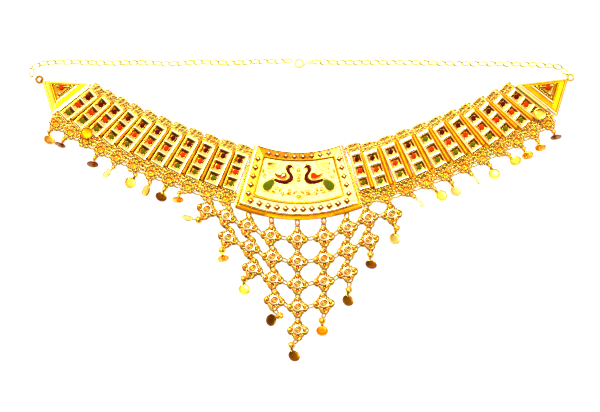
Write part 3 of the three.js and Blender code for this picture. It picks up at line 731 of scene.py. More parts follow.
border = skin(
    [edge(z, grow) for edge, z, grow, _ in border_rings],
    [(0, 8, 0), (0, 8, GROUND)],
    [finish for *_, finish in border_rings[:-1]],
)
# The border's floor is painted light: pale painted highlight along the bottom, a lighter sanded
# tone on the right and painted shade along the top except at its right end.
starts = np.cumsum(border.sizes) - border.sizes
x, y, _ = np.stack([border.points[border.loops[starts + k]] for k in range(3)]).mean(0).T
floor = border.finish == FLOOR
border.finish[floor] = POLISHED
border.finish[floor & (x > 12) & (y < 17)] = SANDED_AND_LIT
border.finish[floor & (y > 17) & (x < 6)] = PAINTED_SHADE
border.finish[floor & (y < 1.5)] = PAINTED_HIGHLIGHT
cast("plaque_frame", border.at(plaque_place), ["plaque"])

# ---------------------------------------------------------------- studs and edge work of the plaque
# Four-sided faceted studs stand in a row on each side of the border. The top row has a zigzag
# between them, and rows of granules run down both sides of the flange.

GRANULES_A_SIDE = 38
ZIGZAG_POINTS = 17
# Each stud's facets are painted light: painted shade on its upright sides, painted half-shade on its slopes
# and painted highlight on its top.
stud = lathe([(1.45, -0.05), (1.4, 0.12), (0.42, 0.92), (0.12, 1.0)], 4, [PAINTED_SHADE, AMBER_HALF_SHADE, PAINTED_HIGHLIGHT])


def border_point(across, along):
    """A point on the middle line of the border, from -1 to 1 across and from 0 at its lower edge
    to 1 at its upper edge."""
    fall = 1 - across ** 2
    lower = np.array([across * 19.6, 2.0 - 3.9 * fall])
    upper = np.array([across * 14.6, 20.9 - 2.2 * fall])
    return lower * (1 - along) + upper * along


studs = [stud.at(place(*border_point(across, 0), BORDER_FLOOR)) for across in np.linspace(-0.93, 0.93, 12)]
for side in (-1, 1):
    for i in range(5):
        spot = border_point(side, 0.12 + 0.178 * i)
        studs.append(stud.at(place(*spot, BORDER_FLOOR, side * 8, scale=0.92)))
for across in np.linspace(-0.78, 0.78, 8):
    x, y = border_point(across, 1)
    studs.append(stud.at(place(x, y - 0.1, BORDER_FLOOR, scale=0.85)))

zigzag = []
for i, across in enumerate(np.linspace(-0.89, 0.89, ZIGZAG_POINTS)):
    x, y = border_point(across, 1)
    zigzag.append((x, y + (1.0 if i % 2 else -0.8), 2.84))
# The zigzag is painted highlight.
studs.append(wire(zigzag, 0.26, 5).finished(PAINTED_HIGHLIGHT))
x, y = border_point(0, 1)
studs.append(wire([(x, y - 1.0, 2.85), (x, y + 1.0, 2.85)], 0.2, 6))

# Two rows of granules at the foot of each side wall, the outer one only where the flange is wide.
granules = []
for side in (-1, 1):
    for i in range(GRANULES_A_SIDE):
        share = (i + 0.5) / GRANULES_A_SIDE
        wall, rim = 22.5 - 6.05 * share, 24.0 - 7.0 * share
        y = -0.4 + FLANGE_TOP * share
        granules.append(bead_middle.at(place(side * (wall + 0.3), y, 1.25)))
        if rim - wall > 0.85:
            granules.append(granule(0.34).at(place(side * (rim - 0.2), y + 0.3, 1.15)))
            granules.append(granule(0.36).at(place(side * (rim + 0.35), y, 0.9)))
# The outer rail's wire is painted highlight and the field's edge wire painted half-shade.
studs.append(wire(body_edge(2.86, -0.45), 0.4, 8, True, flat=0.6).finished(PAINTED_HIGHLIGHT))
studs.append(wire(field_edge(2.9, 0.55), 0.2, 8, True, flat=0.6).finished(AMBER_HALF_SHADE))
cast("plaque_studs", joined([*studs, joined(granules).finished(WORKED)]).at(plaque_place))

# ---------------------------------------------------------------- peacocks
# Two peacocks face each other on the sunk field. Bodies are maroon enamel, wings orange and
# tails green, each let into a cell of drawn gold wire soldered to the ground.


def cushion(outline, height):
    """A low cushion of enamel with a rounded rim over a closed outline."""
    middle = outline.mean(0)
    rings = []
    for inset, up in ((0.0, 0.0), (0.0, 0.6), (0.06, 0.82), (0.18, 0.93), (0.5, 1.0)):
        rings.append(level(outline + (middle - outline) * inset, GROUND + height * up))
    return skin(rings, [(*middle, GROUND), (*middle, GROUND + height + 0.06)])


def smooth(points, per=6, closed=False):
    """A smooth line through a few points."""
    points = np.asarray(points, float)
    if closed:
        points = np.vstack([points[-1], points, points[0], points[1]])
    else:
        points = np.vstack([2 * points[0] - points[1], points, 2 * points[-1] - points[-2]])
    line = []
    for a, b, c, d in zip(points, points[1:], points[2:], points[3:]):
        for step in range(per):
            t = step / per
            bend, twist = 2 * a - 5 * b + 4 * c - d, 3 * b - a - 3 * c + d
            line.append(0.5 * (2 * b + (c - a) * t + bend * t ** 2 + twist * t ** 3))
    if not closed:
        line.append(points[-2])
    return np.array(line)


def stroke(line, widths, z, height):
    """A stroke of enamel along a line, its width changing from end to end."""
    widths = np.interp(np.linspace(0, 1, len(line)), np.linspace(0, 1, len(widths)), widths)
    form = wire(level(line, z), widths / 2, 10)
    form.points[:, 2] = z + np.clip((form.points[:, 2] - z) * 2 * height, -height, height)
    return form


# One bird, drawn for the right-hand side with its breast towards the middle of the plaque.
body_line = smooth([
    (2.4, 14.7), (3.2, 14.95), (4.0, 14.1), (3.8, 12.8), (3.0, 11.6), (2.75, 10.4), (3.5, 9.3),
    (4.7, 8.85), (6.2, 8.85), (7.8, 9.2), (9.2, 9.85),
])
body_widths = [0.7, 1.2, 1.3, 1.3, 1.35, 1.4, 1.4, 1.35, 1.25, 1.0]
wing_line = smooth([
    (4.75, 11.1), (5.0, 12.0), (5.9, 12.25), (6.8, 11.6), (7.6, 11.45), (8.9, 12.2), (8.1, 10.95),
    (6.9, 10.3), (5.7, 10.1), (5.0, 10.35),
], 5, True)
tail_line = smooth([
    (9.3, 8.6), (9.9, 9.7), (10.9, 9.5), (12.2, 8.9), (13.5, 7.6), (13.3, 6.2), (12.1, 5.5), (10.8, 6.2),
    (9.9, 7.5),
], 5, True)


def bird(side):
    """The three enamels of a bird and its wires."""
    flip = np.array([side, 1.0])
    body, wing, tail = body_line * flip, wing_line * flip, tail_line * flip

    def drawn(line, up, radius, sides=5, **shape):
        return wire(level(line, GROUND + up), radius, sides, **shape)

    wires = [
        drawn(wing + (wing - wing.mean(0)) * 0.09, 0.25, 0.2, 6, closed=True),
        drawn(tail, 0.2, 0.14, 6, closed=True),
        drawn(tail + (tail - tail.mean(0)) * 0.24, 0.12, 0.13, closed=True),
        drawn(body + np.array([side * 0.8, 0.5]), 0.2, 0.2, 6),
        drawn(body - np.array([side * 0.65, 0.72]), 0.1, 0.15),
    ]
    crest = np.array([3.1, 15.4]) * flip
    for lean in (-0.35, 0.0, 0.35):
        tip = crest + (lean, 0.75)
        wires.append(drawn(np.linspace(crest, tip, 4), 0.15, 0.08))
        wires.append(granule(0.15).at(place(*tip, GROUND + 0.18)))
    if side < 0:
        # Much of this wing's enamel is worn away to bare metal, which is painted highlight on one patch
        # and painted shade on the other.
        for points, radius, finish in (
            ([(5.2, 11.9), (6.0, 11.2), (6.6, 10.6)], 0.42, PAINTED_HIGHLIGHT),
            ([(7.2, 11.2), (8.0, 11.5), (8.6, 11.9)], 0.3, PAINTED_SHADE),
        ):
            worn = smooth(points) * flip
            swell = np.sin(np.linspace(0.15, 1, len(worn)) * math.pi * 0.95)
            wires.append(drawn(worn, 0.42, radius * swell, 8, flat=0.6).finished(finish))
    beak = smooth([(2.4, 14.6), (1.95, 14.4), (1.65, 14.0)]) * flip
    wires.append(drawn(beak, 0.2, np.linspace(0.2, 0.07, len(beak)), 6))
    for top, foot in (((4.9, 8.3), (4.7, 7.2)), ((6.3, 8.3), (6.5, 7.2))):
        wires.append(drawn(np.linspace(top, foot, 4) * flip, 0.12, 0.11))
    return (
        stroke(body, body_widths, GROUND + 0.2, 0.36), cushion(wing, 0.42), cushion(tail, 0.42),
        joined(wires),
    )


birds = [bird(side) for side in (-1, 1)]
for number, colour in enumerate(enamels):
    cast_enamel(f"peacock_{colour}", colour, [parts[number].at(plaque_place) for parts in birds])

# ---------------------------------------------------------------- wire work of the field
# Shell fans fill the upper corners and scrolls and leaves run under the birds. All of it is
# drawn wire and granules, with the cell wires of the birds.

field_work = [parts[3] for parts in birds]
# The leaves, the fans' arcs and the line under the birds are painted half-shade, and the scrolls painted
# shade.
leaf = joined([petal(1.7, 0.5, 0.15, 5), wire([(0, 0.2, 0.02), (0, 1.2, 0.02)], 0.09, 5)]).finished(AMBER_HALF_SHADE)
field_curl = scroll(0.85, 0.19, 0.11, 5).finished(PAINTED_SHADE)
leaves = [(2.2, 4.3, 60), (4.6, 4.5, 100), (7.6, 5.0, 40), (10.2, 5.6, 130), (13.6, 12.3, 10)]
field_curls = [(3.4, 5.3, 30), (6.2, 4.4, 200), (8.6, 6.3, 120), (12.9, 11.0, 60)]
seeds = [(1.3, 11.9), (0.8, 12.9), (9.9, 13.0), (11.2, 12.0), (1.6, 8.6), (14.6, 6.0), (7.1, 6.6)]
for side in (-1, 1):
    corner = np.array([side * 12.1, 16.6])

    def fan_point(reach, angle):
        return corner + np.array([side * reach * np.cos(angle), 0.78 * reach * np.sin(angle)]).T

    for reach in (5.2, 3.3):
        arc = fan_point(reach, np.radians(np.linspace(182, 268, 22)))
        field_work.append(wire(level(arc, GROUND + 0.12), 0.13, 5).finished(AMBER_HALF_SHADE))
    for angle in np.radians(np.arange(188, 268, 10)):
        ends = [fan_point(reach, angle) for reach in (0.9, 4.5)]
        field_work.append(wire(level(ends, GROUND + 0.1), 0.1, 5))
    field_work.append(bead_large.at(place(side * 11.6, 16.2, GROUND + 0.15)))
    for form, spots in ((leaf, leaves), (field_curl, field_curls)):
        field_work += [form.at(place(side * x, y, GROUND + 0.12, side * turn)) for x, y, turn in spots]
    field_work += [bead_small.at(place(side * x, y, GROUND + 0.1)) for x, y in seeds]
    under = smooth([(0.4, 3.2), (4.5, 3.9), (9.0, 4.6), (13.8, 5.3)]) * np.array([side, 1])
    field_work.append(wire(level(under, GROUND + 0.1), 0.12, 5).finished(AMBER_HALF_SHADE))
for y, radius in ((13.4, 0.4), (11.2, 0.55), (9.6, 0.36), (2.9, 0.5)):
    field_work.append(around(wire_loop.at(place(scale=0.6)), 4, radius, GROUND + 0.15, 45).at(place(0, y)))
    field_work.append(granule(0.26).at(place(0, y, GROUND + 0.22)))
cast("field_wires", joined(field_work).at(plaque_place))

# ---------------------------------------------------------------- end caps
# A triangle of sheet gold closes each wing, with broad polished bands round a small pierced
# panel of wire work and one orange dot. The chain hooks into the ring at its tip.

# From the last bar's top to the edge, the edge's length, how far it reaches below the bar's
# middle, how far the tip stands out and how far up the edge the tip lies.
CAPS = {"left": (1.55, 19.4, 10.2, 13.3, 5.5), "right": (2.15, 19.5, 12.0, 14.4, 6.0)}
CAP_STEPS = 10                      # points along each side of the triangle
# From the back to the panel: how far the triangle's middle is shifted out and to the neck, the
# share by which it is drawn in, its height, and the finish of the strip that follows. These
# finishes paint light: painted shade and half-shade on the bands' edges, in the grooves between
# them and on the panel's sunk floor, and plain polish on the bands' tops.
cap_rings = [
    (0, 0, 0, WORKED), (0, 0, 1.55, AMBER_HALF_SHADE), (0, 0.02, 1.78, PAINTED_SHADE), (0, 0.045, 1.78, POLISHED),
    (0, 0.06, 1.9, POLISHED), (0, 0.13, 1.9, PAINTED_SHADE), (0, 0.15, 1.72, PAINTED_SHADE), (0.1, 0.17, 1.72, POLISHED),
    (0.2, 0.19, 1.88, POLISHED), (1.2, 0.41, 1.8, PAINTED_SHADE), (1.3, 0.43, 1.7, AMBER_HALF_SHADE),
    (1.4, 0.45, 1.86, AMBER_HALF_SHADE), (1.5, 0.5, 1.86, PAINTED_SHADE), (1.55, 0.52, 1.6, PAINTED_SHADE), (1.6, 0.55, 1.3, PAINTED_SHADE),
]
PANEL_SHIFT, PANEL_SHARE, PANEL_Z, _ = cap_rings[-1]
WIDE_BAND = (7, 8)                  # the strips of the broad inner band
HIGHLIGHT_STRIPS_BESIDE_BAR = (2, 3, 4, 10, 11)


def drawn_in(corners, shift, share, z):
    """The triangle drawn in by a share towards its middle, which is shifted out and to the neck."""
    middle = corners.mean(0) + (1.2 * shift, 0.8 * shift)
    return level(corners + (middle - corners) * share, z)


def subdivided(triangle, steps):
    ring = []
    for a, b in zip(triangle, np.roll(triangle, -1, 0)):
        ring += [a + (b - a) * i / steps for i in range(steps)]
    return np.array(ring)


for side in ("left", "right"):
    matrix, width, _ = links[side][-1]
    cap_place = np.eye(4)
    cap_place[:3, 0] = unit(matrix[:3, 0] * (1, 1, 0))
    cap_place[:3, 1] = unit(matrix[:3, 1] * (1, 1, 0))
    cap_place[:3, 3] = matrix[:3, 3] * (1, 1, 0)
    gap, length, lower, reach, tip_along = CAPS[side]
    edge = width / 2 + gap
    corners = np.array([(edge, -lower), (edge + reach, tip_along - lower), (edge, length - lower)])
    rings = [subdivided(drawn_in(corners, *ring), CAP_STEPS) for *ring, _ in cap_rings]
    middle = corners.mean(0) + (1.2 * PANEL_SHIFT, 0.8 * PANEL_SHIFT)
    plate = skin(rings, [(*middle, 0), (*middle, PANEL_Z)], [finish for *_, finish in cap_rings[:-1]])
    # Beside the bar the rim is painted highlight, and the broad band is painted half-shade there and
    # all round on the right.
    strip, past = np.divmod(np.arange(len(plate.sizes)), 3 * CAP_STEPS)
    beside = (past >= 2 * CAP_STEPS) & (plate.sizes == 4)
    wide = np.isin(strip, WIDE_BAND) & (plate.sizes == 4)
    plate.finish[beside & np.isin(strip, HIGHLIGHT_STRIPS_BESIDE_BAR)] = PAINTED_HIGHLIGHT
    plate.finish[wide & (beside | (side == "right"))] = AMBER_HALF_SHADE
    parts = [plate]
    panel = drawn_in(corners, PANEL_SHIFT, PANEL_SHARE, PANEL_Z)[:, :2]
    for corner in panel:
        run = corner - middle
        parts.append(curl.at(place(*(middle + run * 0.5), 1.5, heading(run))))
        parts.append(granule(0.3).at(place(*(middle + run * 0.78), 1.5)))
    frame_line = subdivided(drawn_in(panel, 0, 0.42, 1.75), 5)
    parts.append(wire(frame_line, 0.24, 6, True).finished(LEMON))
    parts.append(collar.at(place(*middle, 1.6, scale=1.05)))
    for share in np.arange(1, 10) / 10:
        x, y = panel[0] + (panel[2] - panel[0]) * share
        parts.append(bead_small.at(place(x + 0.35, y, 1.45)))
    # The ring at the tip and the ball that joins it to the plate.
    run = unit(corners[1] - corners.mean(0))
    # The tip ring and its ball are painted shade on the left wing and plainly polished on the right.
    tip_shading = PAINTED_SHADE if side == "left" else POLISHED
    tip_ring = oval(1.25, 1.25, 0.42, 20, 0.75, 8).at(place(*(corners[1] + run * 1.2)))
    parts.append(tip_ring.finished(tip_shading))
    parts.append(ball(0.7).finished(tip_shading).at(place(*(corners[1] - run * 0.1), 1.5)))
    cast(f"cap_{side}", joined(parts).at(cap_place), [f"end_cap_{side}"])
    cast_enamel(f"cap_dot_{side}", "orange", [dot.at(place(*middle, 1.58, scale=1.05)).at(cap_place)])

# ---------------------------------------------------------------- drops
# Each drop is a jump ring, a hollow bead made of two cups with granules at its waist, and a thin
# dished coin with a raised rim. The coins hang free and have come to rest at different tilts.

COIN_RADIUS = 2.3
COIN_THICKNESS = 0.45
COIN_FACE = 14.9                     # area of a coin's flat face
WING_BEAD, BIB_BEAD = 1.0, 1.5       # radius of the beads on the wings and on the bib

coin = lathe(
    [
        (2.1, -0.2), (2.26, -0.1), (2.3, 0.06), (2.22, 0.2), (2.08, 0.22), (1.95, 0.1),
        (1.6, -0.02), (1.1, -0.08), (0.5, -0.1),
    ],
    28,
)
bead = joined([
    ball(1.42, 0.92, 14, 8),
    oval(1.42, 1.42, 0.2, 20),
    around(bead_middle, 7, 1.18, 0.72, 0),
    lathe([(0.6, 1.0), (0.64, 1.35), (0.34, 1.52)], 10),
])


def coin_frame(node):
    """The coin's middle and the way it faces, from the broad flat faces of its disc."""
    points, _, triangles = cad_corners(node)
    a, b, c = (points[triangles[:, k]] for k in range(3))
    cross = np.cross(b - a, c - a)
    area = np.linalg.norm(cross, axis=1) / 2
    normal = cross / (2 * area[:, None] + 1e-12)
    offset = (normal * a).sum(1)
    middle = (a + b + c) / 3
    faces = {}
    for i in np.nonzero(area > 0.02)[0]:
        faces.setdefault((*normal[i].round(2), round(offset[i], 1)), []).append(i)
    upward = [members for key, members in faces.items() if key[2] > -0.02]
    best = min(upward, key=lambda members: abs(area[members].sum() - COIN_FACE))
    up = unit((normal[best] * area[best, None]).sum(0))
    centre = (middle[best] * area[best, None]).sum(0) / area[best].sum() - up * COIN_THICKNESS / 2
    return centre, up


def facing(centre, up, towards):
    """Axes with Z along up and Y as near as can be to a direction."""
    y = unit(towards - up * (towards @ up))
    matrix = np.eye(4)
    matrix[:3, :3] = np.column_stack([np.cross(y, up), y, up])
    matrix[:3, 3] = centre
    return matrix


def upright_ring(start, end, width=0.62, thickness=0.22):
    """A wire ring that stands on edge between two points."""
    run = np.subtract(end, start)
    ring = oval(np.linalg.norm(run) / 2, width, thickness, 14)
    stand = place(*np.add(start, end) / 2, heading(run))
    stand[:3, :3] = stand[:3, :3] @ np.array([[0, 0, 1], [0, 1, 0], [-1, 0, 0]])
    return ring.at(stand)


# Painted light on the coins: painted shade on those that look dark, painted half-shade on one,
# pale lemon gold on those that catch the light and worked gold on two. The others are plainly
# polished.
coin_painted_light = {
    "drop_left_04": PAINTED_SHADE, "drop_left_07": LEMON, "drop_left_08": PAINTED_SHADE, "drop_left_10": PAINTED_SHADE,
    "drop_left_11": WORKED, "drop_right_03": LEMON, "drop_right_05": LEMON, "drop_right_06": LEMON,
    "drop_right_10": WORKED, "drop_right_11": PAINTED_SHADE, "lattice_m3": LEMON, "lattice_m1": PAINTED_SHADE,
    "lattice_centre": PAINTED_SHADE, "lattice_p1": AMBER_HALF_SHADE, "lattice_p2": PAINTED_SHADE, "lattice_p3": PAINTED_SHADE,
    "lattice_p4": LEMON,
}


def nearest_bead(node, radius, spot):
    """The middle of the bead of one radius in a CAD node that lies nearest to a spot."""
    points, _, _ = cad_corners(node)
    tops = points[abs(points[:, 2] - 2 * radius) < 0.004][:, :2]
    return tops[np.argmin(np.linalg.norm(tops - spot, axis=1))]


def drop_form(node, hook, radius):
    """Ring, bead, stem and coin of one drop, hung from its hook point."""
    centre, up = coin_frame(node)
    bead_centre = np.array([*nearest_bead(node, radius, hook), radius + 0.07])
    way = unit(bead_centre[:2] - hook)
    hook_end = bead_centre[:2] - way * 0.75 * radius
    parts = [hooked(hook - way * 0.4, hook_end, width=0.7)]
    if radius == BIB_BEAD:
        ends = (*(hook_end - way * 0.6), 0.95), (*(hook_end + way * 0.55), 1.1)
        parts.append(upright_ring(*ends, 0.55, 0.24))
    parts.append(bead.at(place(*bead_centre, heading(way), 64, radius / BIB_BEAD)))
    matrix = facing(centre, up, bead_centre - centre)
    disc = coin.at(matrix)
    disc.points[:, 2] = np.maximum(disc.points[:, 2], 0)
    parts.append(disc.finished(coin_painted_light.get(node, POLISHED)))
    rim = centre + matrix[:3, 1] * (COIN_RADIUS - 0.25)
    rim[2] = max(rim[2], 0.6)
    near = bead_centre + unit(rim - bead_centre) * radius * 0.7
    parts.append(wire(np.linspace(near, rim + matrix[:3, 1] * 0.2, 4), 0.36, 6).finished(WORKED))
    eye = oval(0.45, 0.42, 0.22, 12).at(matrix @ place(0, COIN_RADIUS + 0.05, 0))
    eye.points[:, 2] += max(0, 0.05 - eye.points[:, 2].min())
    parts.append(eye.finished(WORKED))
    return parts


for side in ("left", "right"):
    for number in range(3, 12):
        node = f"drop_{side}_{number:02d}"
        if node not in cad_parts:
            continue
        centre = on_bar(links[side][number - 1], ROSETTE_Y)[:2]
        hook = centre + unit(nearest_bead(node, WING_BEAD, centre) - centre) * 2.65
        cast(f"hanging_{side}_{number:02d}", joined(drop_form(node, hook, WING_BEAD)), [node])
    # One coin on each wing has turned up over its ring and lies on the bars.
    node = f"turned_coin_{side}"
    centre, up = coin_frame(node)
    matrix = facing(centre, up, np.array([0, -1.0, 0]))
    foot = centre + matrix[:3, 1] * 2.1
    stem = wire(np.linspace(foot, foot - up * 0.8, 3), 0.24, 6, up=(1, 0, 0))
    ring = upright_ring(foot + up * 0.1, foot - up + matrix[:3, 1] * 0.4)
    # The left wing's turned coin is painted half-shade and the right one plainly polished.
    finish = AMBER_HALF_SHADE if side == "left" else POLISHED
    cast(f"coin_{side}", joined([coin.at(matrix), stem, ring]).finished(finish), [node])

# ---------------------------------------------------------------- lattice bib
# The bib is a net of four-petalled filigree tiles, each round a small ring cup, hooked together
# with jump rings. Every column ends in a drop.

TILE_TIP = 3.55
TILE_SCALE = 1.12                  # the petals' wire stands out round the pressed plate
CUP_TOP = 1.36                     # radius of the six corners of a cup's top
CUP_HEIGHT = 1.8
RING_PITCH = 2.1
# Painted light on the tiles: the balls in the petals, the low plates and the cup's upper outer side and
# inner slope are painted half-shade, and the cup's rounded rim is painted highlight.
tile_petal = joined([
    oval(1.12, 1.02, 0.3),
    ball(0.5, 0.8).finished(AMBER_HALF_SHADE),
    oval(0.74, 0.64, 0.15, 12, -0.05, 5).finished(LEMON),
])
tile = joined([
    around(lathe([(1.62, 0.15), (1.68, 0.5), (1.3, 0.75)], 12, AMBER_HALF_SHADE), 4, 2.05),
    lathe([(2.5, 0.1), (2.55, 0.45), (2.0, 0.72)], 16, AMBER_HALF_SHADE),
    around(tile_petal, 4, 2.35, 1.05, 90, 6),
    around(joined([wire_loop.at(place(z=0.05, scale=0.72)).finished(LEMON), bead_small]), 4, 2.1, 0.95, 45),
    around(bead_middle.finished(WORKED), 4, 2.85, 0.75, 45),
    around(granule(0.27).finished(LEMON), 8, 1.98, 1.05, 22.5),
    around(bead_small, 4, 3.6, 1.0),
    lathe(
        [(1.68, 0.5), (1.76, 1.3), (1.62, 1.68), (1.3, 1.76), (1.08, 1.64), (0.98, 1.3), (0.7, 1.2)], 22,
        [WORKED, AMBER_HALF_SHADE, PAINTED_HIGHLIGHT, PAINTED_HIGHLIGHT, AMBER_HALF_SHADE, AMBER_HALF_SHADE],
    ),
    oval(0.62, 0.62, 0.2, 14, 1.36).finished(LEMON),
    ball(0.38, 0.9).at(place(z=1.3)),
])


def tile_places(points):
    """Middles of a column's tiles and how far they are turned, from the cups and the star tips."""
    tops = points[abs(points[:, 2] - CUP_HEIGHT) < 0.01][:, :2]
    middles = []
    for point in tops[np.argsort(-tops[:, 1])]:
        corners = (abs(np.linalg.norm(tops - point, axis=1) - CUP_TOP) < 0.02).sum()
        if corners == 6:
            middles.append(point)
    tips = points[abs(np.linalg.norm(points[:, :2] - middles[0], axis=1) - TILE_TIP) < 0.01][:, :2]
    reach = tips - middles[0]
    turns = np.degrees(np.arctan2(reach[:, 1], reach[:, 0])) % 90
    turn = np.degrees(np.angle(np.exp(4j * np.radians(turns)).mean())) / 4
    return middles, turn


def tip_point(middle, turn, quarter, inset=0.4):
    """A tile's tip in quarter turn number quarter, counted from +Y towards -X."""
    angle = math.radians(turn + 90 * (quarter + 1))
    return middle + (TILE_TIP - inset) * np.array([math.cos(angle), math.sin(angle)])


def linked(start, end):
    """A run of wire rings from start to end, by turns flat and on edge."""
    length = np.linalg.norm(end - start)
    way = unit(end - start)
    count = max(1, round(length / RING_PITCH))
    rings = []
    for i in range(count):
        a = start + way * (length * i / count - 0.2)
        b = start + way * (length * (i + 1) / count + 0.2)
        rings.append(hooked(a, b, thickness=0.38, width=0.8))
        if i:
            # The rings that stand on edge are painted half-shade.
            ring = upright_ring((*(a - way * 0.5), 0.9), (*(a + way * 0.7), 0.9), 0.55, 0.3)
            rings.append(ring.finished(AMBER_HALF_SHADE))
    return joined(rings)


columns = ["m4", "m3", "m2", "m1", "centre", "p1", "p2", "p3", "p4"]
found = {name: tile_places(cad_corners(f"lattice_{name}")[0]) for name in columns}
for index, name in enumerate(columns):
    middles, turn = found[name]
    inwards = (index < 4) - (index > 4)
    parts = [tile.at(place(x, y, 0, turn, scale=TILE_SCALE)) for x, y in middles]
    top = tip_point(middles[0], turn, 0)
    outside = min(index, len(columns) - 1 - index)
    if outside < 2:
        # The two outer columns on each side hang from the rosettes of the wing's first bars.
        centre = on_bar(links["left" if inwards > 0 else "right"][1 - outside], ROSETTE_Y)[:2]
        start = centre + unit(top - centre) * 2.5
    else:
        across = (middles[0][0] - PLAQUE_X) / 24.15
        start = np.array([middles[0][0], PLAQUE_Y - 1.0 - 4.6 * (1 - across ** 2)])
    parts.append(linked(start, top))
    for upper, lower in zip(middles, middles[1:]):
        parts.append(linked(tip_point(upper, turn, 2), tip_point(lower, turn, 0)))
    if inwards:
        inner, inner_turn = found[columns[index + inwards]]
        for middle, other in zip(middles, inner):
            a = tip_point(middle, turn, 2 + inwards, 0.5)
            b = tip_point(other, inner_turn, 2 - inwards, 0.1)
            parts.append(hooked(a, b, 0.8, 0.32, 0.62))
    parts += drop_form(f"lattice_{name}", tip_point(middles[-1], turn, 2), BIB_BEAD)
    cast(f"bib_{name}", joined(parts), [f"lattice_{name}"])

# ---------------------------------------------------------------- back chain and clasp
# The back chain is of open oval wire links in a paler gold, each leaning the other way from the
# one before. It closes with an S-shaped hook in a round ring.

pale_gold = gold(
    "pale_gold", (0.86, 0.70, 0.09), (0.82, 0.62, 0.06), (0.50, 0.34, 0.02), 0.22, 12e-6, 1.0, 0.3
)
CHAIN_Z = 1.15
LINK_PITCH = 3.1
LINK_LEAN = 16.0                   # degrees
MIDDLE = (PLAQUE_X + 0.5, PLAQUE_Y)      # the spread necklace's middle, where the routes start from
chain_routes = {
    "left": [
        (-103.2, 51.2), (-103.4, 53.2), (-101.4, 55.1), (-97.6, 56.3), (-87, 56.6), (-74.5, 56.2),
        (-61, 56.4), (-49.4, 55.9), (-39, 56.6), (-27, 56.2), (-17.7, 56.7), (-7.6, 56.9), (-3.6, 57.1),
    ],
    "right": [
        (5.05, 56.6), (19, 56.4), (42, 56.4), (60, 56.0), (80, 55.8), (90, 55.6), (94.9, 55.1),
        (99.6, 54.6), (102.75, 52.05),
    ],
}
chain_link = oval(1.72, 0.92, 0.31, 18)
for side, route in chain_routes.items():
    line = smooth(route, 12) + MIDDLE
    travelled = np.concatenate([[0], np.cumsum(np.linalg.norm(np.diff(line, axis=0), axis=1))])

    def on_route(distance):
        return np.array([np.interp(distance, travelled, line[:, k]) for k in (0, 1)])

    count = round((travelled[-1] - 1.2) / LINK_PITCH)
    forms = []
    for i in range(count):
        middle = 1.2 + (travelled[-1] - 2.4) * i / (count - 1)
        turn = heading(on_route(middle + 0.6) - on_route(middle - 0.6))
        lean = math.radians(LINK_LEAN if i % 2 else -LINK_LEAN)
        roll = np.eye(4)
        roll[0, [0, 2]] = math.cos(lean), math.sin(lean)
        roll[2, [0, 2]] = -math.sin(lean), math.cos(lean)
        forms.append(chain_link.at(place(*on_route(middle), CHAIN_Z, turn) @ roll))
    cast(f"links_{side}", joined(forms), [f"chain_{side}"], [pale_gold])

clasp_low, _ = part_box("clasp")
clasp_corner = np.array([clasp_low.x, clasp_low.y]) / MM
hook_line = smooth([
    (3.1, 2.5), (3.5, 1.9), (4.3, 1.65), (5.4, 2.3), (6.4, 3.0), (7.0, 2.6), (6.7, 1.9), (6.0, 1.8),
])
clasp_form = joined([
    oval(1.6, 1.6, 0.38, 22, 0.7, 8).at(place(2.0, 2.0)),
    wire(level(hook_line, 0.75), 0.3, 8),
    ball(0.4).at(place(6.0, 1.8, 0.75)),
])
cast("clasp_hook", clasp_form.at(place(*clasp_corner)), ["clasp"], [pale_gold])

# ---------------------------------------------------------------- table and light
# The necklace lies on a plain white lit table. Two round soft boxes hang over it, and the studio
# is dim on the near side, which gives the polished gold its dark reflections.

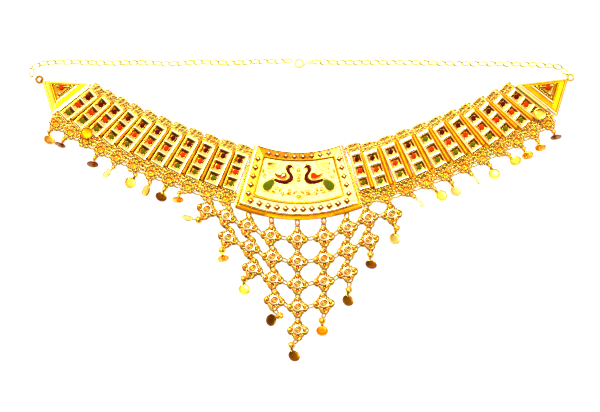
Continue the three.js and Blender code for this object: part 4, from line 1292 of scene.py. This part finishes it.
SOFT_BOX = 24.0
bpy.ops.mesh.primitive_plane_add(size=6.0, location=(0, 0, -0.0001))
table = bpy.context.object
table.name = "table_top"
white, nodes, shader, where = blank_material("table_white")
weave = nodes.node("TexNoise", None, {"Vector": where, "Scale": 900.0})
weave.tint((0.50, 0.50, 0.49), (0.54, 0.54, 0.53)).into(shader.inputs["Base Color"])
shader.inputs["Roughness"].default_value = 0.8
shader.inputs["Emission Color"].default_value = (1, 1, 1, 1)
shader.inputs["Emission Strength"].default_value = 0.8
table.data.materials.append(white)

scene = bpy.context.scene
scene.world = bpy.data.worlds.new("studio")
scene.world.use_nodes = True
sky = Flow(scene.world.node_tree)
direction = sky.node("TexCoord", output="Generated")
east, north, up = (sky.node("SeparateXYZ", None, {"Vector": direction}, axis) for axis in "XYZ")


def round_light(x, y, inner, outer):
    """1 on a round patch of the studio's ceiling, which falls to 0 at its outer radius."""
    across, along = east - x, north - y
    return 1 - ((across * across + along * along) ** 0.5).within(inner, outer)


soft_boxes = round_light(-0.22, 0.5, 0.1, 0.3) + round_light(0.35, 0.0, 0.06, 0.18)
glow = round_light(-0.22, 0.5, 0.3, 1.0) * 1.25
far_side = north.within(-0.3, 0.5) * 0.45 + 0.2
brightness = up.within(-0.05, 0.1) * (far_side + glow + soft_boxes * SOFT_BOX)
seen = sky.node("LightPath", output="Is Camera Ray")
background = scene.world.node_tree.nodes["Background"]
(brightness * (1 - seen) + seen * 1.4).into(background.inputs["Strength"])
background.inputs["Color"].default_value = (1, 1, 1, 1)

# ---------------------------------------------------------------- camera
# The camera stands well back over the near edge of the table with a long lens. It looks down
# at the middle of the spread necklace and is square to it.

CAMERA_ELEVATION = 78.0            # degrees
CAMERA_DISTANCE = 0.7              # metres
CAMERA_LENS = 110.5                # millimetres, on a sensor 36 mm wide
target = Vector((*MIDDLE, 0)) * MM
tilt = math.radians(CAMERA_ELEVATION)
camera_data = bpy.data.cameras.new("camera")
camera_data.lens = CAMERA_LENS
camera_data.sensor_width = 36.0
camera_data.clip_start = 0.01
camera = bpy.data.objects.new("camera", camera_data)
camera.location = target + Vector((0, -math.cos(tilt), math.sin(tilt))) * CAMERA_DISTANCE
camera.rotation_euler = (math.pi / 2 - tilt, 0, 0)
scene.collection.objects.link(camera)
scene.camera = camera
scene.view_settings.view_transform = "Standard"
